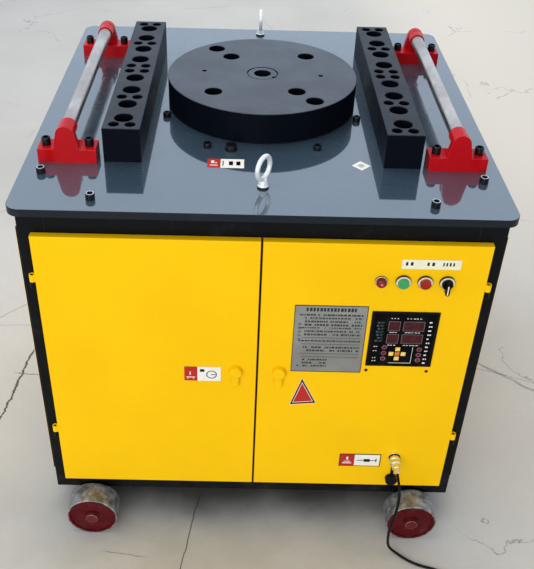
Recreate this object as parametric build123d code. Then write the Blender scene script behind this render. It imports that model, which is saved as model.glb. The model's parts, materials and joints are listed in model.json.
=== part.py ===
from build123d import *
import math
import os

# Rebar bender: a wheeled steel cabinet under a thick table plate. A geared motor under the plate
# turns a work disc, and pins set in the disc and in two hole blocks bend the bar between them.
# Frame: +X right, +Y back, +Z up. The origin is on the floor, under the middle of the table.

# ---- table and cabinet frame ----
TABLE_W = 900.0
TABLE_D = 900.0
TABLE_T = 15.0
TABLE_TOP = 825.0
TABLE_CORNER_R = 25.0
TABLE_BOTTOM = TABLE_TOP - TABLE_T
OVERHANG_X = 14.0
OVERHANG_Y = 16.0
FRAME_X = TABLE_W / 2 - OVERHANG_X
FRAME_Y = TABLE_D / 2 - OVERHANG_Y
FRAME_BOTTOM = 86.5
BAR = 50.0
BAR_T = 5.0
POST_W = 50.0
POST_T = 6.0

# ---- sheet metal ----
SHEET = 2.0
DOOR_DEPTH = 14.0
DOOR_SEAL_GAP = 2.0
DOOR_EDGE_X = 412.0
DOOR_SPLIT = 4.0
DOOR_TOP = TABLE_TOP - 56.0
DOOR_BOTTOM = 128.0
DOOR_BACK_Y = -FRAME_Y - DOOR_SEAL_GAP
DOOR_FACE_Y = DOOR_BACK_Y - DOOR_DEPTH
PANEL_DEPTH = 8.0
PANEL_EDGE = 418.0
LOUVRE_W = 150.0
LOUVRE_H = 7.0
LOUVRE_PITCH = 22.0
LOUVRES = 8
TRAY_T = 3.0
TRAY_GAP = 1.0

# ---- door hinges and latches ----
HINGE_GAP = 6.0
HINGE_AXIS_Y = DOOR_BACK_Y - 9.0
HINGE_AXIS_X = DOOR_EDGE_X + HINGE_GAP
KNUCKLE_R = 5.5
KNUCKLE_L = 15.0
KNUCKLE_GAP = 0.3
PIN_R = 3.0
RUNNING = 0.05
HINGE_DROPS = (157.0, 550.0)
LEAF_T = 8.0
LATCH_X = 43.0
LATCH_Z = TABLE_TOP - 364.0
LATCH_SHAFT_R = 5.0
LATCH_BOSS_R = 13.0
LATCH_LEVER_R = 7.5
LATCH_LEVER_L = 31.0
LATCH_LEVER_T = 6.0
LATCH_CAM_L = 32.0
LATCH_CAM_W = 14.0
LATCH_CAM_T = 4.0
LATCH_GAP = 0.6

# ---- work disc and spindle ----
WORK_Y = 11.0
DISC_R = 200.0
DISC_T = 62.0
DISC_GAP = 3.0
DISC_BOTTOM = TABLE_TOP + DISC_GAP
DISC_TOP = DISC_BOTTOM + DISC_T
PIN_BORE_R = 18.0
DISC_PINS = ((113.0, 127.0), (113.0, 308.0), (140.0, 46.0), (140.0, 224.0), (169.0, 127.0), (169.0, 308.0))
LIFT_HOLE_R = 5.0
LIFT_HOLE_PLACE = (124.0, 177.0)
LIFT_HOLE_DEPTH = 20.0
EDGE_BREAK = 1.0
NOSE_R = 31.0
NOSE_GROOVE = 2.5
NOSE_GROOVE_DEPTH = 3.0
LOCK_HOLE_R = 4.5
LOCK_HOLE_ANGLE = 322.0
LOCK_HOLE_DEPTH = 14.0
SHOULDER_R = 50.0
SPINDLE_R = 40.0
SPINDLE_BORE_DEPTH = 90.0
TABLE_HOLE_R = 60.0

# ---- gear train: four shafts, three meshes ----
TOP_WALL = 22.0
CASE_WALL = 12.0
CASE_MARGIN = 5.0
COVER_T = 16.0
SEAT_DEPTH_TOP = 12.0
SEAT_DEPTH_BOTTOM = 14.0
SHAFT_END_GAP = 0.3
PINION_TEETH = 17
GEAR_TEETH = 68
MOTOR_GEAR_TEETH = 85
BULL_MODULE = 5.0
SECOND_MODULE = 4.0
FIRST_MODULE = 3.0
BULL_WIDTH = 50.0
SECOND_WIDTH = 34.0
FIRST_WIDTH = 26.0
PINION_EXTRA = 1.0
LEVEL_GAP = 8.0
BACKLASH = 0.35
PRESSURE_ANGLE = 20.0
SECOND_SHAFT_R = 20.0
FIRST_SHAFT_R = 15.0
MOTOR_SHAFT_R = 14.0
SPINDLE_BEARING_R = 58.0
SECOND_BEARING_R = 31.0
FIRST_BEARING_R = 26.0
SECOND_TURN = 90.0
FIRST_TURN = 205.0
MOTOR_TURN = 260.0
CASE_TOP = TABLE_BOTTOM
CASE_CEILING = CASE_TOP - TOP_WALL
BULL_TOP = CASE_CEILING - LEVEL_GAP
BULL_Z = BULL_TOP - BULL_WIDTH
SECOND_Z = BULL_Z - LEVEL_GAP - SECOND_WIDTH
FIRST_Z = SECOND_Z - LEVEL_GAP - FIRST_WIDTH
CASE_FLOOR = FIRST_Z - 21.0
COVER_BOTTOM = CASE_FLOOR - COVER_T

# ---- motor ----
FLANGE_R = 115.0
FLANGE_T = 14.0
STATOR_R = 92.0
STATOR_BORE_R = 58.0
STATOR_L = 230.0
SHIELD_T = 14.0
SHIELD_R = 98.0
FINS = 24
FIN_H = 9.0
FIN_T = 4.0
ROTOR_R = 55.0
ROTOR_L = 140.0
FAN_R = 84.0
FAN_BLADES = 6
FAN_H = 26.0
COWL_WALL = 2.0
COWL_L = 72.0
COWL_SLOTS = 16
TERMINAL_W = 90.0
TERMINAL_D = 55.0
TERMINAL_H = 80.0

# ---- hole blocks ----
BLOCK_X = 265.0
BLOCK_W = 71.0
BLOCK_L = 570.0
BLOCK_H = 70.0
BLOCK_PIN_OFFSETS = (50.0, 110.0, 177.0, 238.0)
BLOCK_SCREW_OFFSETS = (14.0, 144.0, 266.0)
BLOCK_SCREW_X = 15.4
COUNTERBORE_R = 10.0
COUNTERBORE_FLOOR = 20.0

# ---- rollers ----
ROLLER_X = 368.0
ROLLER_RISE = 57.0
ROLLER_R = 14.0
ROLLER_L = 478.0
ROLLER_AXLE_R = 8.0
ROLLER_GAP = 1.0
BRACKET_W = 110.0
BRACKET_L = 42.0
BRACKET_H = 28.0
UPRIGHT_T = 14.0
UPRIGHT_W = 48.0
UPRIGHT_R = 18.0
BOSS_R = 17.0
BRACKET_SCREW_X = 40.5
BRACKET_SCREW_IN = 21.0

# ---- screws and bolts ----
M12_R = 6.0
M12_HEAD_R = 8.5
M12_HEAD_H = 12.0
M10_R = 5.0
M10_HEAD_R = 8.0
M10_HEAD_H = 10.0
SOCKET_R = 4.5
SOCKET_DEPTH = 5.0
BRACKET_HEAD_H = 15.0
SCREW_SHORT = 1.0
NUT_R = 10.0
NUT_H = 9.0
TABLE_BOLT_SIDE = (410.0, 320.0)
TABLE_BOLT_END = (305.0, 409.0)
CASE_BOLT_SIDE = (198.0, 84.0)
CASE_BOLT_END = (108.0, 216.0)
CASE_BOLT_DEPTH = 18.0
PLUG_XY = (-61.0, -214.0)
PLUG_HEAD_R = 11.0
PLUG_R = 8.0
EYE_FRONT_Y = -355.0
EYE_BACK_Y = 412.0
EYE_TURNS = (58.0, 90.0)
EYE_RING_R = 21.5
EYE_WIRE_R = 4.5
EYE_CENTRE = 40.0
EYE_COLLAR_R = 11.0
EYE_COLLAR_H = 4.0
EYE_NECK_R = (10.0, 7.0)

# ---- wheels ----
WHEEL_R = 55.0
WHEEL_W = 50.0
WHEEL_X = 352.5
WHEEL_FACE_R = 48.0
WHEEL_RECESS = 3.0
WHEEL_BOSS_R = 17.0
WHEEL_IN = 11.0
AXLE_R = 10.0
AXLE_COLLAR_R = 14.0
AXLE_HEAD_R = 13.0
AXLE_HEAD_T = 4.7
AXLE_BLOCK = 40.0
AXLE_BLOCK_L = 48.0
SIDE_PLAY = 0.3

# ---- controls on the right door ----
CONTROL_Z = TABLE_TOP - 135.5
LAMP_X = 219.0
GREEN_X = 259.0
RED_X = 299.0
SELECTOR_X = 339.0
PANEL_HOLE_R = 11.2
BARREL_R = 11.1
BEZEL_R = 14.0
BEZEL_H = 6.0
LAMP_BEZEL_R = 11.5
LAMP_BEZEL_H = 3.0
CAP_R = 10.0
CAP_GAP = 0.3
CAP_PROUD = 12.0
CAP_T = 10.0
BUTTON_TRAVEL = 4.0
STEM_R = 6.0
BARREL_L = 28.0
CONTACT_W = 28.0
CONTACT_H = 40.0
CONTACT_L = 36.0
LENS_R = 9.6
LENS_PROUD = 13.0
KNOB_T = 16.0
KNOB_LEVER_W = 8.0
KNOB_LEVER_UP = 9.5
KNOB_LEVER_DOWN = 19.0
CONTROLLER_X = (211.0, 339.0)
CONTROLLER_Z = (TABLE_TOP - 342.0, TABLE_TOP - 206.0)
CONTROLLER_BEZEL = 2.5
CONTROLLER_LIP = 6.0
CONTROLLER_L = 55.0
CUTOUT_GAP = 0.3
PLATE_X = (65.5, 203.5)
PLATE_Z = (TABLE_TOP - 362.0, TABLE_TOP - 195.0)
PLATE_T = 1.0

# ---- foot-switch socket, plug, cord and pedal ----
SOCKET_X = 301.0
SOCKET_Z = 221.0
SOCKET_FLANGE_R = 13.0
SOCKET_FLANGE_T = 3.0
SOCKET_BARREL_R = 9.0
SOCKET_BARREL_L = 7.0
SOCKET_BODY_R = 9.4
SOCKET_BODY_L = 20.0
SLEEVE_R = 11.0
SLEEVE_BORE_R = 9.1
SLEEVE_L = 20.0
PLUG_BODY_R = 8.5
PLUG_BODY_L = 11.0
GLAND_L = 14.0
GLAND_R = 6.5
CORD_D = 6.0
CAP_DROP = 66.0
DUST_CAP_R = 12.5
DUST_CAP_L = 12.0
STRAP_W = 6.0
STRAP_T = 1.6
STRAP_RING_R = 12.0
COIL_X = 478.0
COIL_Y = -652.0
COIL_R = 33.0
COIL_W = 18.0
COIL_H = 16.5
PEDAL_X = 352.0
PEDAL_Y = (-758.0, -672.0)
PEDAL_W = 72.0
PEDAL_BASE_H = 22.0
PEDAL_CHEEK_H = 44.0
PEDAL_WALL = 4.0
PEDAL_SLOPE = 12.0
PEDAL_PLATE_T = 5.0
PEDAL_PIN_R = 4.0
PEDAL_GLAND_R = 7.0
PEDAL_GLAND_L = 12.0
PEDAL_GLAND_Z = 12.0

# Route of the foot-switch cord from the plug to its coil, then from the coil to the pedal.
CORD_ROUTE = (
    (301, -500, 221),
    (301, -518, 221),
    (301.5, -533, 212.5),
    (302, -542, 197),
    (301, -545, 168),
    (296, -545, 124),
    (293.5, -541, 86),
    (296, -536, 56),
    (299, -532, 31),
    (306, -530.5, 14),
    (320, -535.5, 5),
    (338, -549, 3),
    (362, -563, 3),
    (395, -572, 3),
    (430, -585, 3),
    (452, -604, 3),
    (478, -613, 3),
)
CORD_TAIL = (
    (352, -660, 12),
    (352.5, -646, 11),
    (358, -633, 8),
    (372, -625, 4),
    (392, -622, 3),
    (410, -629, 3.2),
    (425, -638, 6),
    (437, -650, 11),
    (447, -664, 13.2),
)

# ---- electrical box inside the cabinet ----
BOX_X = (150.0, 400.0)
BOX_Y = (280.0, 405.0)
BOX_H = 300.0
BOX_WALL = 3.0


def block(x, y, z):
    """Box between two corners, each axis given as (low, high)."""
    size = [high - low for low, high in (x, y, z)]
    middle = [(low + high) / 2 for low, high in (x, y, z)]
    return Pos(*middle) * Box(*size)


def rod(r, x, y, z0, z1):
    """Round bar along Z."""
    return Pos(x, y, (z0 + z1) / 2) * Cylinder(r, abs(z1 - z0))


def rod_y(r, x, z, y0, y1):
    """Round bar along Y."""
    return Pos(x, (y0 + y1) / 2, z) * Rot(90, 0, 0) * Cylinder(r, abs(y1 - y0))


def rod_x(r, y, z, x0, x1):
    """Round bar along X."""
    return Pos((x0 + x1) / 2, y, z) * Rot(0, 90, 0) * Cylinder(r, abs(x1 - x0))


def cone_y(r0, r1, x, z, y0, y1):
    """Tapered round bar along Y, with radius r0 at y0 and r1 at y1."""
    turn = Rot(-90, 0, 0) if y1 > y0 else Rot(90, 0, 0)
    return Pos(x, (y0 + y1) / 2, z) * turn * Cone(r0, r1, abs(y1 - y0))


def around(radius, degrees, x=0.0, y=0.0):
    """Point at a radius and an angle from a centre."""
    turn = math.radians(degrees)
    return x + radius * math.cos(turn), y + radius * math.sin(turn)


def four(x, y, y_middle=0.0):
    """The four places of a rectangle about the middle of the table."""
    return [(sx * x, y_middle + sy * y) for sx in (-1, 1) for sy in (-1, 1)]


def mirrored(shape, side):
    """The shape as made for the right side, or its mirror image for the left."""
    return shape if side > 0 else mirror(shape, about=Plane.YZ)


def save(name, *solids):
    """Write one sub-part: one solid, or a group of separate solids."""
    shape = solids[0] if len(solids) == 1 else Compound(children=list(solids))
    export_step(shape, f"parts/{name}.step")


def cap_screw(r, head_r, head_h, x, y, seat, tip):
    """Socket-head cap screw, its head standing on seat and its shank ending at tip."""
    screw = rod(head_r, x, y, seat, seat + head_h) + rod(r, x, y, tip, seat)
    screw = chamfer(screw.faces().sort_by(Axis.Z)[-1].edges(), EDGE_BREAK)
    return screw - rod(SOCKET_R, x, y, seat + head_h - SOCKET_DEPTH, seat + head_h)


def involute(angle):
    return math.tan(angle) - angle


def gear_blank(teeth, module, width, z, phase, x, y):
    """Toothed wheel without a bore. One tooth is centred at the phase angle, in degrees."""
    pitch_r = module * teeth / 2
    base_r = pitch_r * math.cos(math.radians(PRESSURE_ANGLE))
    root_r = pitch_r - 1.25 * module
    tip_r = pitch_r + 0.95 * module
    half = math.pi / (2 * teeth) - BACKLASH / (2 * pitch_r) + involute(math.radians(PRESSURE_ANGLE))
    flank = [root_r, max(base_r, root_r + 0.1), pitch_r, (pitch_r + tip_r) / 2, tip_r]

    def half_angle(r):
        return half - involute(math.acos(min(1.0, base_r / r)))

    points = []
    for tooth in range(teeth):
        centre = math.radians(phase) + 2 * math.pi * tooth / teeth
        rising = [(r, centre - half_angle(r)) for r in flank]
        falling = [(r, centre + half_angle(r)) for r in reversed(flank)]
        points += [(r * math.cos(a), r * math.sin(a)) for r, a in rising + falling]
    outline = make_face(Polyline(*points, close=True))
    return Pos(x, y, z) * extrude(outline, amount=width)


# ---- places of the four shafts ----
SPINDLE_XY = (0.0, WORK_Y)
SECOND_XY = around(BULL_MODULE * (PINION_TEETH + GEAR_TEETH) / 2, SECOND_TURN, *SPINDLE_XY)
FIRST_XY = around(SECOND_MODULE * (PINION_TEETH + GEAR_TEETH) / 2, FIRST_TURN, *SECOND_XY)
MOTOR_XY = around(FIRST_MODULE * (PINION_TEETH + MOTOR_GEAR_TEETH) / 2, MOTOR_TURN, *FIRST_XY)
GAP_PHASE = 180.0 / PINION_TEETH
SHAFT_BOTTOM = CASE_FLOOR - SEAT_DEPTH_BOTTOM + SHAFT_END_GAP
SHAFT_TOP = CASE_CEILING + SEAT_DEPTH_TOP - SHAFT_END_GAP

TABLE_BOLTS = four(*TABLE_BOLT_SIDE) + four(*TABLE_BOLT_END)
CASE_BOLTS = four(*CASE_BOLT_SIDE, WORK_Y) + four(*CASE_BOLT_END, WORK_Y)
BRACKET_Y = ROLLER_L / 2 + ROLLER_GAP + BRACKET_L - BRACKET_SCREW_IN
BRACKET_SCREWS = [
    (side * ROLLER_X + step, end * BRACKET_Y)
    for side in (-1, 1)
    for end in (-1, 1)
    for step in (-BRACKET_SCREW_X, BRACKET_SCREW_X)
]
BLOCK_SCREWS = [
    (side * BLOCK_X + step, WORK_Y + end * offset)
    for side in (-1, 1)
    for end in (-1, 1)
    for offset in BLOCK_SCREW_OFFSETS
    for step in (-BLOCK_SCREW_X, BLOCK_SCREW_X)
]


def table_plate():
    """Flat plate with round corners, bored for the spindle and every screw."""
    plate = block((-TABLE_W / 2, TABLE_W / 2), (-TABLE_D / 2, TABLE_D / 2), (TABLE_BOTTOM, TABLE_TOP))
    plate = fillet(plate.edges().filter_by(Axis.Z), TABLE_CORNER_R)
    plate = fillet(plate.faces().sort_by(Axis.Z)[-1].edges(), EDGE_BREAK)
    holes = [rod(TABLE_HOLE_R, *SPINDLE_XY, TABLE_BOTTOM, TABLE_TOP)]
    holes += [rod(M12_R, x, y, TABLE_BOTTOM, TABLE_TOP) for x, y in TABLE_BOLTS + BRACKET_SCREWS + BLOCK_SCREWS]
    holes += [rod(M10_R, x, y, TABLE_BOTTOM, TABLE_TOP) for x, y in CASE_BOLTS]
    holes += [rod(M12_R, 0, y, TABLE_BOTTOM, TABLE_TOP) for y in (EYE_FRONT_Y, EYE_BACK_Y)]
    holes.append(rod(PLUG_R, *PLUG_XY, TABLE_BOTTOM, TABLE_TOP))
    return plate - holes


def frame_posts():
    """Four upright angle bars, one at each corner."""
    post = block((FRAME_X - BAR, FRAME_X), (-FRAME_Y, -FRAME_Y + BAR_T), (FRAME_BOTTOM, TABLE_BOTTOM))
    post += block((FRAME_X - BAR_T, FRAME_X), (-FRAME_Y, -FRAME_Y + BAR), (FRAME_BOTTOM, TABLE_BOTTOM))
    pair = [post, mirror(post, about=Plane.YZ)]
    return pair + [mirror(bar, about=Plane.XZ) for bar in pair]


def frame_rails():
    """Eight angle bars: four under the table plate and four at the foot."""
    rails = []
    for low, flat in ((TABLE_BOTTOM - BAR, TABLE_BOTTOM - BAR_T), (FRAME_BOTTOM, FRAME_BOTTOM)):
        x, y = FRAME_X - BAR, FRAME_Y - BAR
        front = block((-x, x), (-FRAME_Y, -FRAME_Y + BAR_T), (low, low + BAR))
        front += block((-x, x), (-FRAME_Y, -y), (flat, flat + BAR_T))
        side = block((FRAME_X - BAR_T, FRAME_X), (-y, y), (low, low + BAR))
        side += block((x, FRAME_X), (-y, y), (flat, flat + BAR_T))
        if low > FRAME_BOTTOM:
            bolts = [rod(M12_R, bx, by, low, TABLE_BOTTOM) for bx, by in TABLE_BOLTS]
            front -= bolts
            side -= bolts
        rails += [front, mirror(front, about=Plane.XZ), side, mirror(side, about=Plane.YZ)]
    return rails


def centre_post():
    """Flat bar between the front rails, which the door latches turn behind."""
    z = (FRAME_BOTTOM + BAR, TABLE_BOTTOM - BAR)
    return block((-POST_W / 2, POST_W / 2), (-FRAME_Y, -FRAME_Y + POST_T), z)


def tray_panel(x, z, depth):
    """Sheet panel with its four edges folded back. Its face lies at y = 0 and its edges at y = depth."""
    shell = block(x, (0, depth), z)
    inner_x = (x[0] + SHEET, x[1] - SHEET)
    inner_z = (z[0] + SHEET, z[1] - SHEET)
    shell -= block(inner_x, (SHEET, depth), inner_z)
    return fillet(shell.faces().sort_by(Axis.Y)[0].edges(), SHEET * 0.75)


def louvres():
    """Cutters for two columns of vent slots."""
    slots = []
    for side in (-1, 1):
        for row in range(LOUVRES):
            z = DOOR_TOP - 90 - row * LOUVRE_PITCH
            middle = side * DOOR_EDGE_X / 2
            slots.append(block((middle - LOUVRE_W / 2, middle + LOUVRE_W / 2), (-1, SHEET + 1), (z, z + LOUVRE_H)))
    return slots


def side_panel():
    """Right cover, folded over the side of the frame."""
    panel = tray_panel((-PANEL_EDGE, PANEL_EDGE), (DOOR_BOTTOM, DOOR_TOP), PANEL_DEPTH)
    return Pos(FRAME_X + PANEL_DEPTH, 0, 0) * Rot(0, 0, 90) * panel


def back_panel():
    """Back cover with two columns of vent slots."""
    panel = tray_panel((-DOOR_EDGE_X, DOOR_EDGE_X), (DOOR_BOTTOM, DOOR_TOP), PANEL_DEPTH) - louvres()
    return Pos(0, FRAME_Y + PANEL_DEPTH, 0) * Rot(0, 0, 180) * panel


def bottom_tray():
    """Sheet floor resting on the foot rails."""
    x = FRAME_X - BAR_T - TRAY_GAP
    y = FRAME_Y - BAR_T - TRAY_GAP
    z = FRAME_BOTTOM + BAR_T
    return block((-x, x), (-y, y), (z, z + TRAY_T))


def hinge_heights():
    """Parting height of each lift-off hinge on a door."""
    return [TABLE_TOP - drop for drop in HINGE_DROPS]


def door():
    """Right door: folded sheet with the upper half of each hinge on its outer edge."""
    shell = tray_panel((DOOR_SPLIT / 2, DOOR_EDGE_X), (DOOR_BOTTOM, DOOR_TOP), DOOR_DEPTH)
    shell = Pos(0, DOOR_FACE_Y, 0) * shell
    for z in hinge_heights():
        knuckle = rod(KNUCKLE_R, HINGE_AXIS_X, HINGE_AXIS_Y, z, z + KNUCKLE_L)
        leaf = block((DOOR_EDGE_X - SHEET / 2, HINGE_AXIS_X), (HINGE_AXIS_Y - 4, HINGE_AXIS_Y + 4), (z, z + KNUCKLE_L))
        shell += knuckle + leaf
        shell -= rod(PIN_R + RUNNING, HINGE_AXIS_X, HINGE_AXIS_Y, z, z + KNUCKLE_L)
    return shell - rod_y(LATCH_SHAFT_R + RUNNING, LATCH_X, LATCH_Z, DOOR_FACE_Y - 1, DOOR_BACK_Y)


def control_cutouts():
    """Cutters for what passes through the right door."""
    y = (DOOR_FACE_Y - 1, DOOR_BACK_Y)
    cutters = [rod_y(PANEL_HOLE_R, x, CONTROL_Z, *y) for x in (LAMP_X, GREEN_X, RED_X, SELECTOR_X)]
    body_x, body_z = controller_body()
    wide_x = (body_x[0] - CUTOUT_GAP, body_x[1] + CUTOUT_GAP)
    wide_z = (body_z[0] - CUTOUT_GAP, body_z[1] + CUTOUT_GAP)
    cutters.append(block(wide_x, y, wide_z))
    cutters.append(rod_y(SOCKET_BODY_R, SOCKET_X, SOCKET_Z, *y))
    return cutters


def frame_hinges():
    """Lower halves of the lift-off hinges, each with its pin and its leaf on the frame."""
    halves = []
    for z in hinge_heights():
        top = z - KNUCKLE_GAP
        half = rod(KNUCKLE_R, HINGE_AXIS_X, HINGE_AXIS_Y, top - KNUCKLE_L, top)
        leaf_x = (HINGE_AXIS_X - 2.5, HINGE_AXIS_X - 2.5 + LEAF_T)
        half += block(leaf_x, (HINGE_AXIS_Y, -FRAME_Y), (top - KNUCKLE_L, top))
        half += rod(PIN_R, HINGE_AXIS_X, HINGE_AXIS_Y, top, z + KNUCKLE_L - 1)
        halves += [half, mirror(half, about=Plane.YZ)]
    return halves


def latch():
    """Quarter-turn latch of the right door: boss and lever outside, cam inside."""
    face = DOOR_FACE_Y - KNUCKLE_GAP
    cam_y = (-FRAME_Y + POST_T + LATCH_GAP, -FRAME_Y + POST_T + LATCH_GAP + LATCH_CAM_T)
    lever_y = (face - 4 - LATCH_LEVER_T, face - 4)
    body = rod_y(LATCH_BOSS_R, LATCH_X, LATCH_Z, face - 12, face)
    lever_x = (LATCH_X - LATCH_LEVER_R, LATCH_X + LATCH_LEVER_R)
    lever = block(lever_x, lever_y, (LATCH_Z - LATCH_LEVER_L, LATCH_Z))
    lever += rod_y(LATCH_LEVER_R, LATCH_X, LATCH_Z - LATCH_LEVER_L, *lever_y)
    shaft = rod_y(LATCH_SHAFT_R, LATCH_X, LATCH_Z, face, cam_y[1])
    half = LATCH_CAM_W / 2
    cam = block((LATCH_X - half, LATCH_X + half), cam_y, (LATCH_Z - LATCH_CAM_L, LATCH_Z))
    cam += rod_y(half, LATCH_X, LATCH_Z, *cam_y)
    return body + lever + shaft + cam


def disc_pin_places():
    return [around(r, turn, *SPINDLE_XY) for r, turn in DISC_PINS]


def lock_hole():
    """Grub-screw hole on the joint of disc and spindle."""
    x, y = around(NOSE_R, LOCK_HOLE_ANGLE, *SPINDLE_XY)
    return rod(LOCK_HOLE_R, x, y, DISC_TOP - LOCK_HOLE_DEPTH, DISC_TOP)


def work_disc():
    """Thick disc with six pin bores, two lifting holes and the bore for the spindle nose."""
    disc = rod(DISC_R, *SPINDLE_XY, DISC_BOTTOM, DISC_TOP)
    disc -= [rod(PIN_BORE_R, x, y, DISC_BOTTOM, DISC_TOP) for x, y in disc_pin_places()]
    disc = chamfer(disc.faces().sort_by(Axis.Z)[-1].edges(), EDGE_BREAK)
    disc -= rod(NOSE_R, *SPINDLE_XY, DISC_BOTTOM, DISC_TOP)
    disc -= rod(NOSE_R + NOSE_GROOVE, *SPINDLE_XY, DISC_TOP - NOSE_GROOVE_DEPTH, DISC_TOP)
    for turn in (0, 180):
        x, y = around(LIFT_HOLE_PLACE[0], LIFT_HOLE_PLACE[1] + turn, *SPINDLE_XY)
        disc -= rod(LIFT_HOLE_R, x, y, DISC_TOP - LIFT_HOLE_DEPTH, DISC_TOP)
    return disc - lock_hole()


def spindle():
    """Main shaft: nose in the disc, shoulder under it, journals below, mandrel bore on top."""
    shaft = rod(NOSE_R, *SPINDLE_XY, DISC_BOTTOM, DISC_TOP)
    shaft += rod(SHOULDER_R, *SPINDLE_XY, TABLE_BOTTOM + SHAFT_END_GAP, DISC_BOTTOM)
    shaft += rod(SPINDLE_R, *SPINDLE_XY, SHAFT_BOTTOM, TABLE_BOTTOM + SHAFT_END_GAP)
    shaft = chamfer(shaft.faces().sort_by(Axis.Z)[-1].edges(), EDGE_BREAK)
    shaft -= rod(PIN_BORE_R, *SPINDLE_XY, DISC_TOP - SPINDLE_BORE_DEPTH, DISC_TOP)
    return shaft - lock_hole()


def bored(blank, r, xy, z0, z1):
    return blank - rod(r, *xy, z0, z1)


def bull_gear():
    blank = gear_blank(GEAR_TEETH, BULL_MODULE, BULL_WIDTH, BULL_Z, SECOND_TURN, *SPINDLE_XY)
    return bored(blank, SPINDLE_R, SPINDLE_XY, BULL_Z, BULL_TOP)


def pinion(module, width, z, towards, xy):
    """Pinion with a tooth gap facing the gear it drives."""
    phase = towards + 180.0 + GAP_PHASE
    return gear_blank(PINION_TEETH, module, width + 2 * PINION_EXTRA, z - PINION_EXTRA, phase, *xy)


def second_shaft():
    shaft = rod(SECOND_SHAFT_R, *SECOND_XY, SHAFT_BOTTOM, SHAFT_TOP)
    return shaft + pinion(BULL_MODULE, BULL_WIDTH, BULL_Z, SECOND_TURN, SECOND_XY)


def second_gear():
    blank = gear_blank(GEAR_TEETH, SECOND_MODULE, SECOND_WIDTH, SECOND_Z, FIRST_TURN, *SECOND_XY)
    return bored(blank, SECOND_SHAFT_R, SECOND_XY, SECOND_Z, SECOND_Z + SECOND_WIDTH)


def first_shaft():
    shaft = rod(FIRST_SHAFT_R, *FIRST_XY, SHAFT_BOTTOM, SHAFT_TOP)
    return shaft + pinion(SECOND_MODULE, SECOND_WIDTH, SECOND_Z, FIRST_TURN, FIRST_XY)


def first_gear():
    blank = gear_blank(MOTOR_GEAR_TEETH, FIRST_MODULE, FIRST_WIDTH, FIRST_Z, MOTOR_TURN, *FIRST_XY)
    return bored(blank, FIRST_SHAFT_R, FIRST_XY, FIRST_Z, FIRST_Z + FIRST_WIDTH)


def bearing(outer, shaft_r, xy, z0, z1):
    return rod(outer, *xy, z0, z1) - rod(shaft_r + RUNNING, *xy, z0, z1)


def gearbox_bearings():
    """Upper and lower bearing of each of the three slow shafts."""
    rings = [bearing(SPINDLE_BEARING_R, SPINDLE_R, SPINDLE_XY, CASE_CEILING, CASE_TOP)]
    rings.append(bearing(SPINDLE_BEARING_R, SPINDLE_R, SPINDLE_XY, CASE_FLOOR - SEAT_DEPTH_BOTTOM, CASE_FLOOR))
    for outer, shaft_r, xy in bearing_seats():
        rings.append(bearing(outer, shaft_r, xy, CASE_CEILING, CASE_CEILING + SEAT_DEPTH_TOP))
        rings.append(bearing(outer, shaft_r, xy, CASE_FLOOR - SEAT_DEPTH_BOTTOM, CASE_FLOOR))
    return rings


def bearing_seats():
    return ((SECOND_BEARING_R, SECOND_SHAFT_R, SECOND_XY), (FIRST_BEARING_R, FIRST_SHAFT_R, FIRST_XY))


def case_outline():
    """Inside of the gear case in plan, clear of every gear."""
    second_r = SECOND_MODULE * (GEAR_TEETH / 2 + 1)
    first_r = FIRST_MODULE * (MOTOR_GEAR_TEETH / 2 + 1)
    bull_r = BULL_MODULE * (GEAR_TEETH / 2 + 1)
    x0 = FIRST_XY[0] - first_r - CASE_MARGIN
    x1 = max(bull_r + CASE_MARGIN, CASE_BOLT_SIDE[0])
    y0 = WORK_Y - bull_r - CASE_MARGIN
    y1 = SECOND_XY[1] + second_r + CASE_MARGIN
    y0 = min(y0, WORK_Y - CASE_BOLT_END[1])
    return (x0, x1), (y0, y1)


def grown(span, step):
    return span[0] - step, span[1] + step


def gear_case():
    """Cast case bolted under the table, open at the bottom, with the upper bearing seats."""
    x, y = case_outline()
    case = block(grown(x, CASE_WALL), grown(y, CASE_WALL), (CASE_FLOOR, CASE_TOP))
    case = fillet(case.edges().filter_by(Axis.Z), CASE_WALL)
    case -= block(x, y, (CASE_FLOOR, CASE_CEILING))
    case -= rod(SPINDLE_BEARING_R, *SPINDLE_XY, CASE_CEILING, CASE_TOP)
    case -= [rod(r, *xy, CASE_CEILING, CASE_CEILING + SEAT_DEPTH_TOP) for r, _, xy in bearing_seats()]
    case -= [rod(M10_R, bx, by, CASE_TOP - CASE_BOLT_DEPTH, CASE_TOP) for bx, by in CASE_BOLTS]
    return case - rod(PLUG_R, *PLUG_XY, CASE_CEILING, CASE_TOP)


def gear_cover():
    """Bottom plate of the gear case with the lower bearing seats and the motor opening."""
    x, y = case_outline()
    cover = block(grown(x, CASE_WALL), grown(y, CASE_WALL), (COVER_BOTTOM, CASE_FLOOR))
    cover = fillet(cover.edges().filter_by(Axis.Z), CASE_WALL)
    seats = ((SPINDLE_BEARING_R, SPINDLE_R, SPINDLE_XY),) + bearing_seats()
    cover -= [rod(r, *xy, CASE_FLOOR - SEAT_DEPTH_BOTTOM, CASE_FLOOR) for r, _, xy in seats]
    opening = FIRST_MODULE * (PINION_TEETH / 2 + 1) + CASE_MARGIN
    return cover - rod(opening, *MOTOR_XY, COVER_BOTTOM, CASE_FLOOR)


# ---- heights along the motor, from its flange down ----
FLANGE_BOTTOM = COVER_BOTTOM - FLANGE_T
STATOR_BOTTOM = FLANGE_BOTTOM - STATOR_L
SHIELD_BOTTOM = STATOR_BOTTOM - SHIELD_T
COWL_BOTTOM = SHIELD_BOTTOM + SHIELD_T - COWL_L
FAN_TOP = SHIELD_BOTTOM - 6.0


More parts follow.
